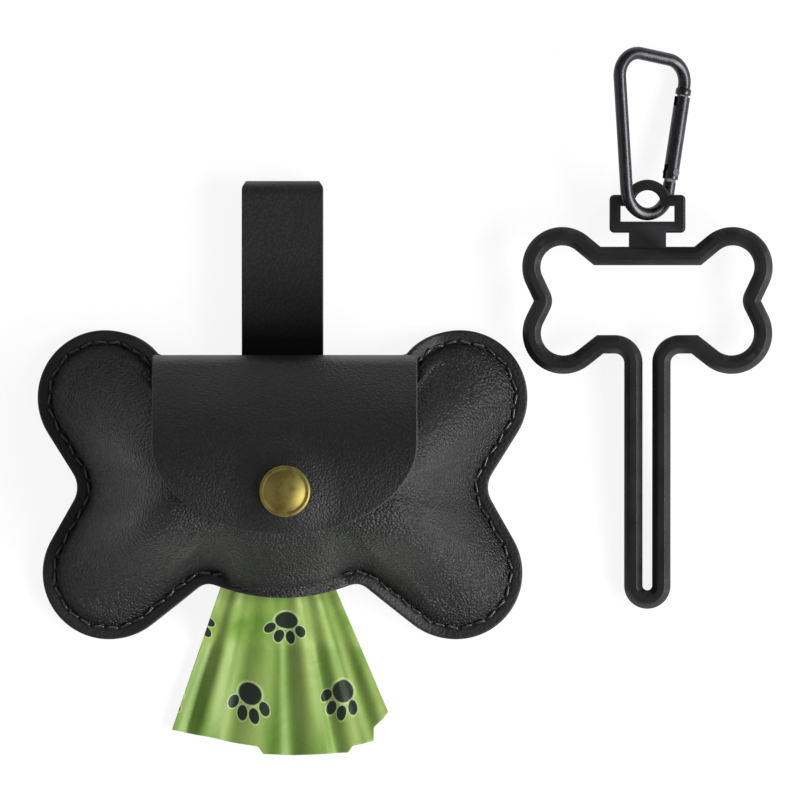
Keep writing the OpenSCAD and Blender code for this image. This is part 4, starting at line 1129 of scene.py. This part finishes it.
def carrier():
    low, edge = RING_H / 2 - PLATE_T / 2, PLATE_EDGE
    tail = [0, -TAIL_LEN + RING_W / 2 + TAIL_R, TAIL_R, 1]
    ring = swept(belt([*RING, tail, *mirrored(RING)], 5), bevelled(RING_W, RING_H, RING_BEVEL))
    outline = belt([[*c, CORNER_R, 1] for c in np.roll(PLATE, 1, 0)], 10)
    plate = loft([level(offset(outline, -d), low + z)
                  for d, z in ((edge, 0), (0, edge), (0, PLATE_T - edge), (edge, PLATE_T))])
    x, y, turn = half_circle(ARCH_R, 37)
    arch = swept(np.column_stack([x, y, turn + np.pi / 2, np.ones(37)]),
                 [(d, z + low) for d, z in bevelled(ARCH_W, PLATE_T, edge)], closed=False)
    neck = prism(NECK, low, low + PLATE_T)
    eye = [*zip(*half_circle(EYE_R, 33)[:2]), (-EYE_R, EYE_LOW), (EYE_R, EYE_LOW)]
    cuts = [prism(outline, low - 2, low + 4) for outline in (WINDOW, eye)]
    made = joined("carrier_moulding", [ring, plate, arch, neck], cuts, NYLON, RIDGE)
    return finish_mesh(made, in_carrier)


settle(carrier(), "carrier", "carrier_plastic", "bag_carrier")

# %% [markdown]
# ## Spring-gate hook
# The hook is one bent rod. Its nose is upset to a small flange with a tongue that fills
# the gate's slot, and its other end narrows to the tongue that the gate turns on. The rod
# is a belt round three circles, left open at the gate.

# %% Hook body
LEAN, HOOK_LOW, HOOK_Y, ROD_R = math.radians(36), 8.624, 52.9348, 1.6
HOOK = [[0, 0, 6.5, 1], [5.9, 26.6, 5.6, 1], [-3.0, 28.1, 5.6, 1]]
RIVET_AT, GATE_LEN, FLANGE = 5.2, 19.2, 1.6
NOSE, SHOULDER = RIVET_AT + GATE_LEN + 0.5, RIVET_AT - 2.45
ROOT_R, TIP_HALF, TONGUE = 1.3, 1.2, 0.7   # half sizes of the tongues at the gate's ends
GATE_TURN = heading(HOOK[0], HOOK[1])
GATE_FOOT = np.array([6.5 * math.sin(GATE_TURN), -6.5 * math.cos(GATE_TURN)])
GATE_WAY = np.array([math.cos(GATE_TURN), math.sin(GATE_TURN)])


def in_hook(p):
    """From the hook's own plane to its place, leaning through the carrier's eye."""
    c, s = math.cos(LEAN), math.sin(LEAN)
    return np.column_stack([CARRIER_X + p[:, 0] * c + p[:, 2] * s, HOOK_Y + p[:, 1],
                            HOOK_LOW - p[:, 0] * s + p[:, 2] * c])


def along_gate(outline):
    """A flat outline drawn along the gate, from its foot, in the hook's plane."""
    outline = np.asarray(outline, float)
    side = np.array([-GATE_WAY[1], GATE_WAY[0]])
    return GATE_FOOT + outline[:, :1] * GATE_WAY + outline[:, 1:] * side


def hook_rod():
    ends = [[*(GATE_FOOT + GATE_WAY * d), GATE_TURN, 1, 0] for d in (NOSE, SHOULDER)]
    bends = belt([HOOK[1], HOOK[2], HOOK[0]], 5)
    run, at = even(np.vstack([ends[0], bends, ends[1]]), 0.35, closed=False)
    extra = np.array([0.0, 0.06, 0.18, FLANGE - 0.18, FLANGE - 0.06, FLANGE, FLANGE + 0.08])
    s = np.r_[extra, at[at > FLANGE + 0.2][:-1], at[-1] - 0.12, at[-1]]
    run = np.stack([np.interp(s, at, run[:, k]) for k in range(4)], -1)
    flange = np.interp(s, extra, [1.72, 1.86, 1.95, 1.95, 1.86, 1.72, ROD_R])
    radius = np.where(s < extra[-1], flange, np.where(s > at[-1] - 0.06, ROD_R - 0.14, ROD_R))
    angle = np.linspace(0, 2 * np.pi, 28, endpoint=False)
    rings = [np.column_stack([offset(np.repeat(run[[i]], 28, 0),
                                     (radius[i] * np.cos(angle))[:, None]),
                              radius[i] * np.sin(angle)]) for i in range(len(run))]
    return loft(rings)


def hook_body():
    turn = np.radians(np.linspace(-90, 90, 17))
    root = [(SHOULDER - 0.5, ROOT_R), (SHOULDER - 0.5, -ROOT_R),
            *zip(RIVET_AT + ROOT_R * np.cos(turn), ROOT_R * np.sin(turn))]
    start, end = NOSE - 2.6, NOSE + 0.4
    tip = [(start, -TIP_HALF), (end, -TIP_HALF), (end, TIP_HALF), (start, TIP_HALF)]
    tongues = [prism(along_gate(outline), -TONGUE, TONGUE) for outline in (root, tip)]
    return finish_mesh(joined("hook_rod", [hook_rod(), *tongues], [], ANODISED, 0), in_hook)


settle(hook_body(), "carabiner", "anodised", "carabiner_body")

# %% [markdown]
# ## Table, light and camera
# The camera looks straight down from far away, as the photograph was taken. Two soft boxes
# at the sides leave the level faces dark and brighten the slopes that turn to them, which
# shows the leather's swell. The sheet looks white and still takes the set's shadow.

# %% Floor
GLOW_SHARE = 0.8                          # how much of the sheet glows where it is seen
TABLE_HALF, TABLE_Z = 3, -0.0001


def white_sheet():
    look = Finish("white_paper", Roughness=0.9)
    fleck = look.ramp(look.noise(30)[0], (0.3, "#f3f3f3"), (0.7, "#f7f7f7"))
    rays = look.add("ShaderNodeLightPath").outputs
    seen = look.math("MAXIMUM", rays["Is Camera Ray"], rays["Is Glossy Ray"])
    seen = look.math("MAXIMUM", seen, rays["Is Transmission Ray"])
    glow = look.add("ShaderNodeEmission", {"Color": srgb("#ffffff"), "Strength": 1.1})
    both = look.add("ShaderNodeMixShader", {0: look.math("MULTIPLY", seen, GLOW_SHARE),
                                            1: look.shader.outputs[0], 2: glow.outputs[0]})
    look.feed(look.out, {"Surface": both.outputs[0]})
    return look.dress(Base_Color=fleck)


mesh = bpy.data.meshes.new("table_top")
mesh.from_pydata([(TABLE_HALF * x, TABLE_HALF * y, TABLE_Z)
                  for x, y in ((-1, -1), (1, -1), (1, 1), (-1, 1))], [], [(0, 1, 2, 3)])
mesh.materials.append(white_sheet())
table_top = placed("table_top", mesh)
print("table is", 2 * TABLE_HALF, "m across")

# %% World and lamps
scene = bpy.context.scene
scene.view_settings.view_transform = "Standard"
world = bpy.data.worlds.new("studio")
scene.world = world
world.use_nodes = True
world.node_tree.nodes.clear()
room = Nodes(world.node_tree)
seen = room.add("ShaderNodeLightPath").outputs["Is Camera Ray"]
sky = room.add("ShaderNodeBackground", {"Color": srgb("#ffffff"),
                                        "Strength": room.spread(seen, 0, 1, 0.22, 1.0)})
room.add("ShaderNodeOutputWorld", {"Surface": sky.outputs[0]})


def soft_box(name, place, power, width, height):
    lamp = bpy.data.lights.new(name, "AREA")
    lamp.shape, lamp.size, lamp.size_y, lamp.energy = "RECTANGLE", width, height, power
    obj = placed(name, lamp)
    obj.location = place
    way = -np.array(place)
    obj.rotation_euler = (math.atan2(math.hypot(way[0], way[1]), -way[2]), 0,
                          math.atan2(way[1], way[0]) - math.pi / 2)


soft_box("right_box", (1.3, -0.45, 0.85), 38, 1.5, 0.6)
soft_box("left_box", (-1.3, -0.1, 0.9), 2.6, 1.6, 0.8)

# %% Camera
lens = bpy.data.cameras.new("camera")
lens.sensor_width, lens.lens = 36, 1440
lens.clip_start, lens.clip_end = 0.05, 20
camera = placed("camera", lens)
camera.location = (-0.00125, 0, 8.0)
scene.camera = camera
print("the camera sees", round(36 / 1440 * 8000), "mm of the table")
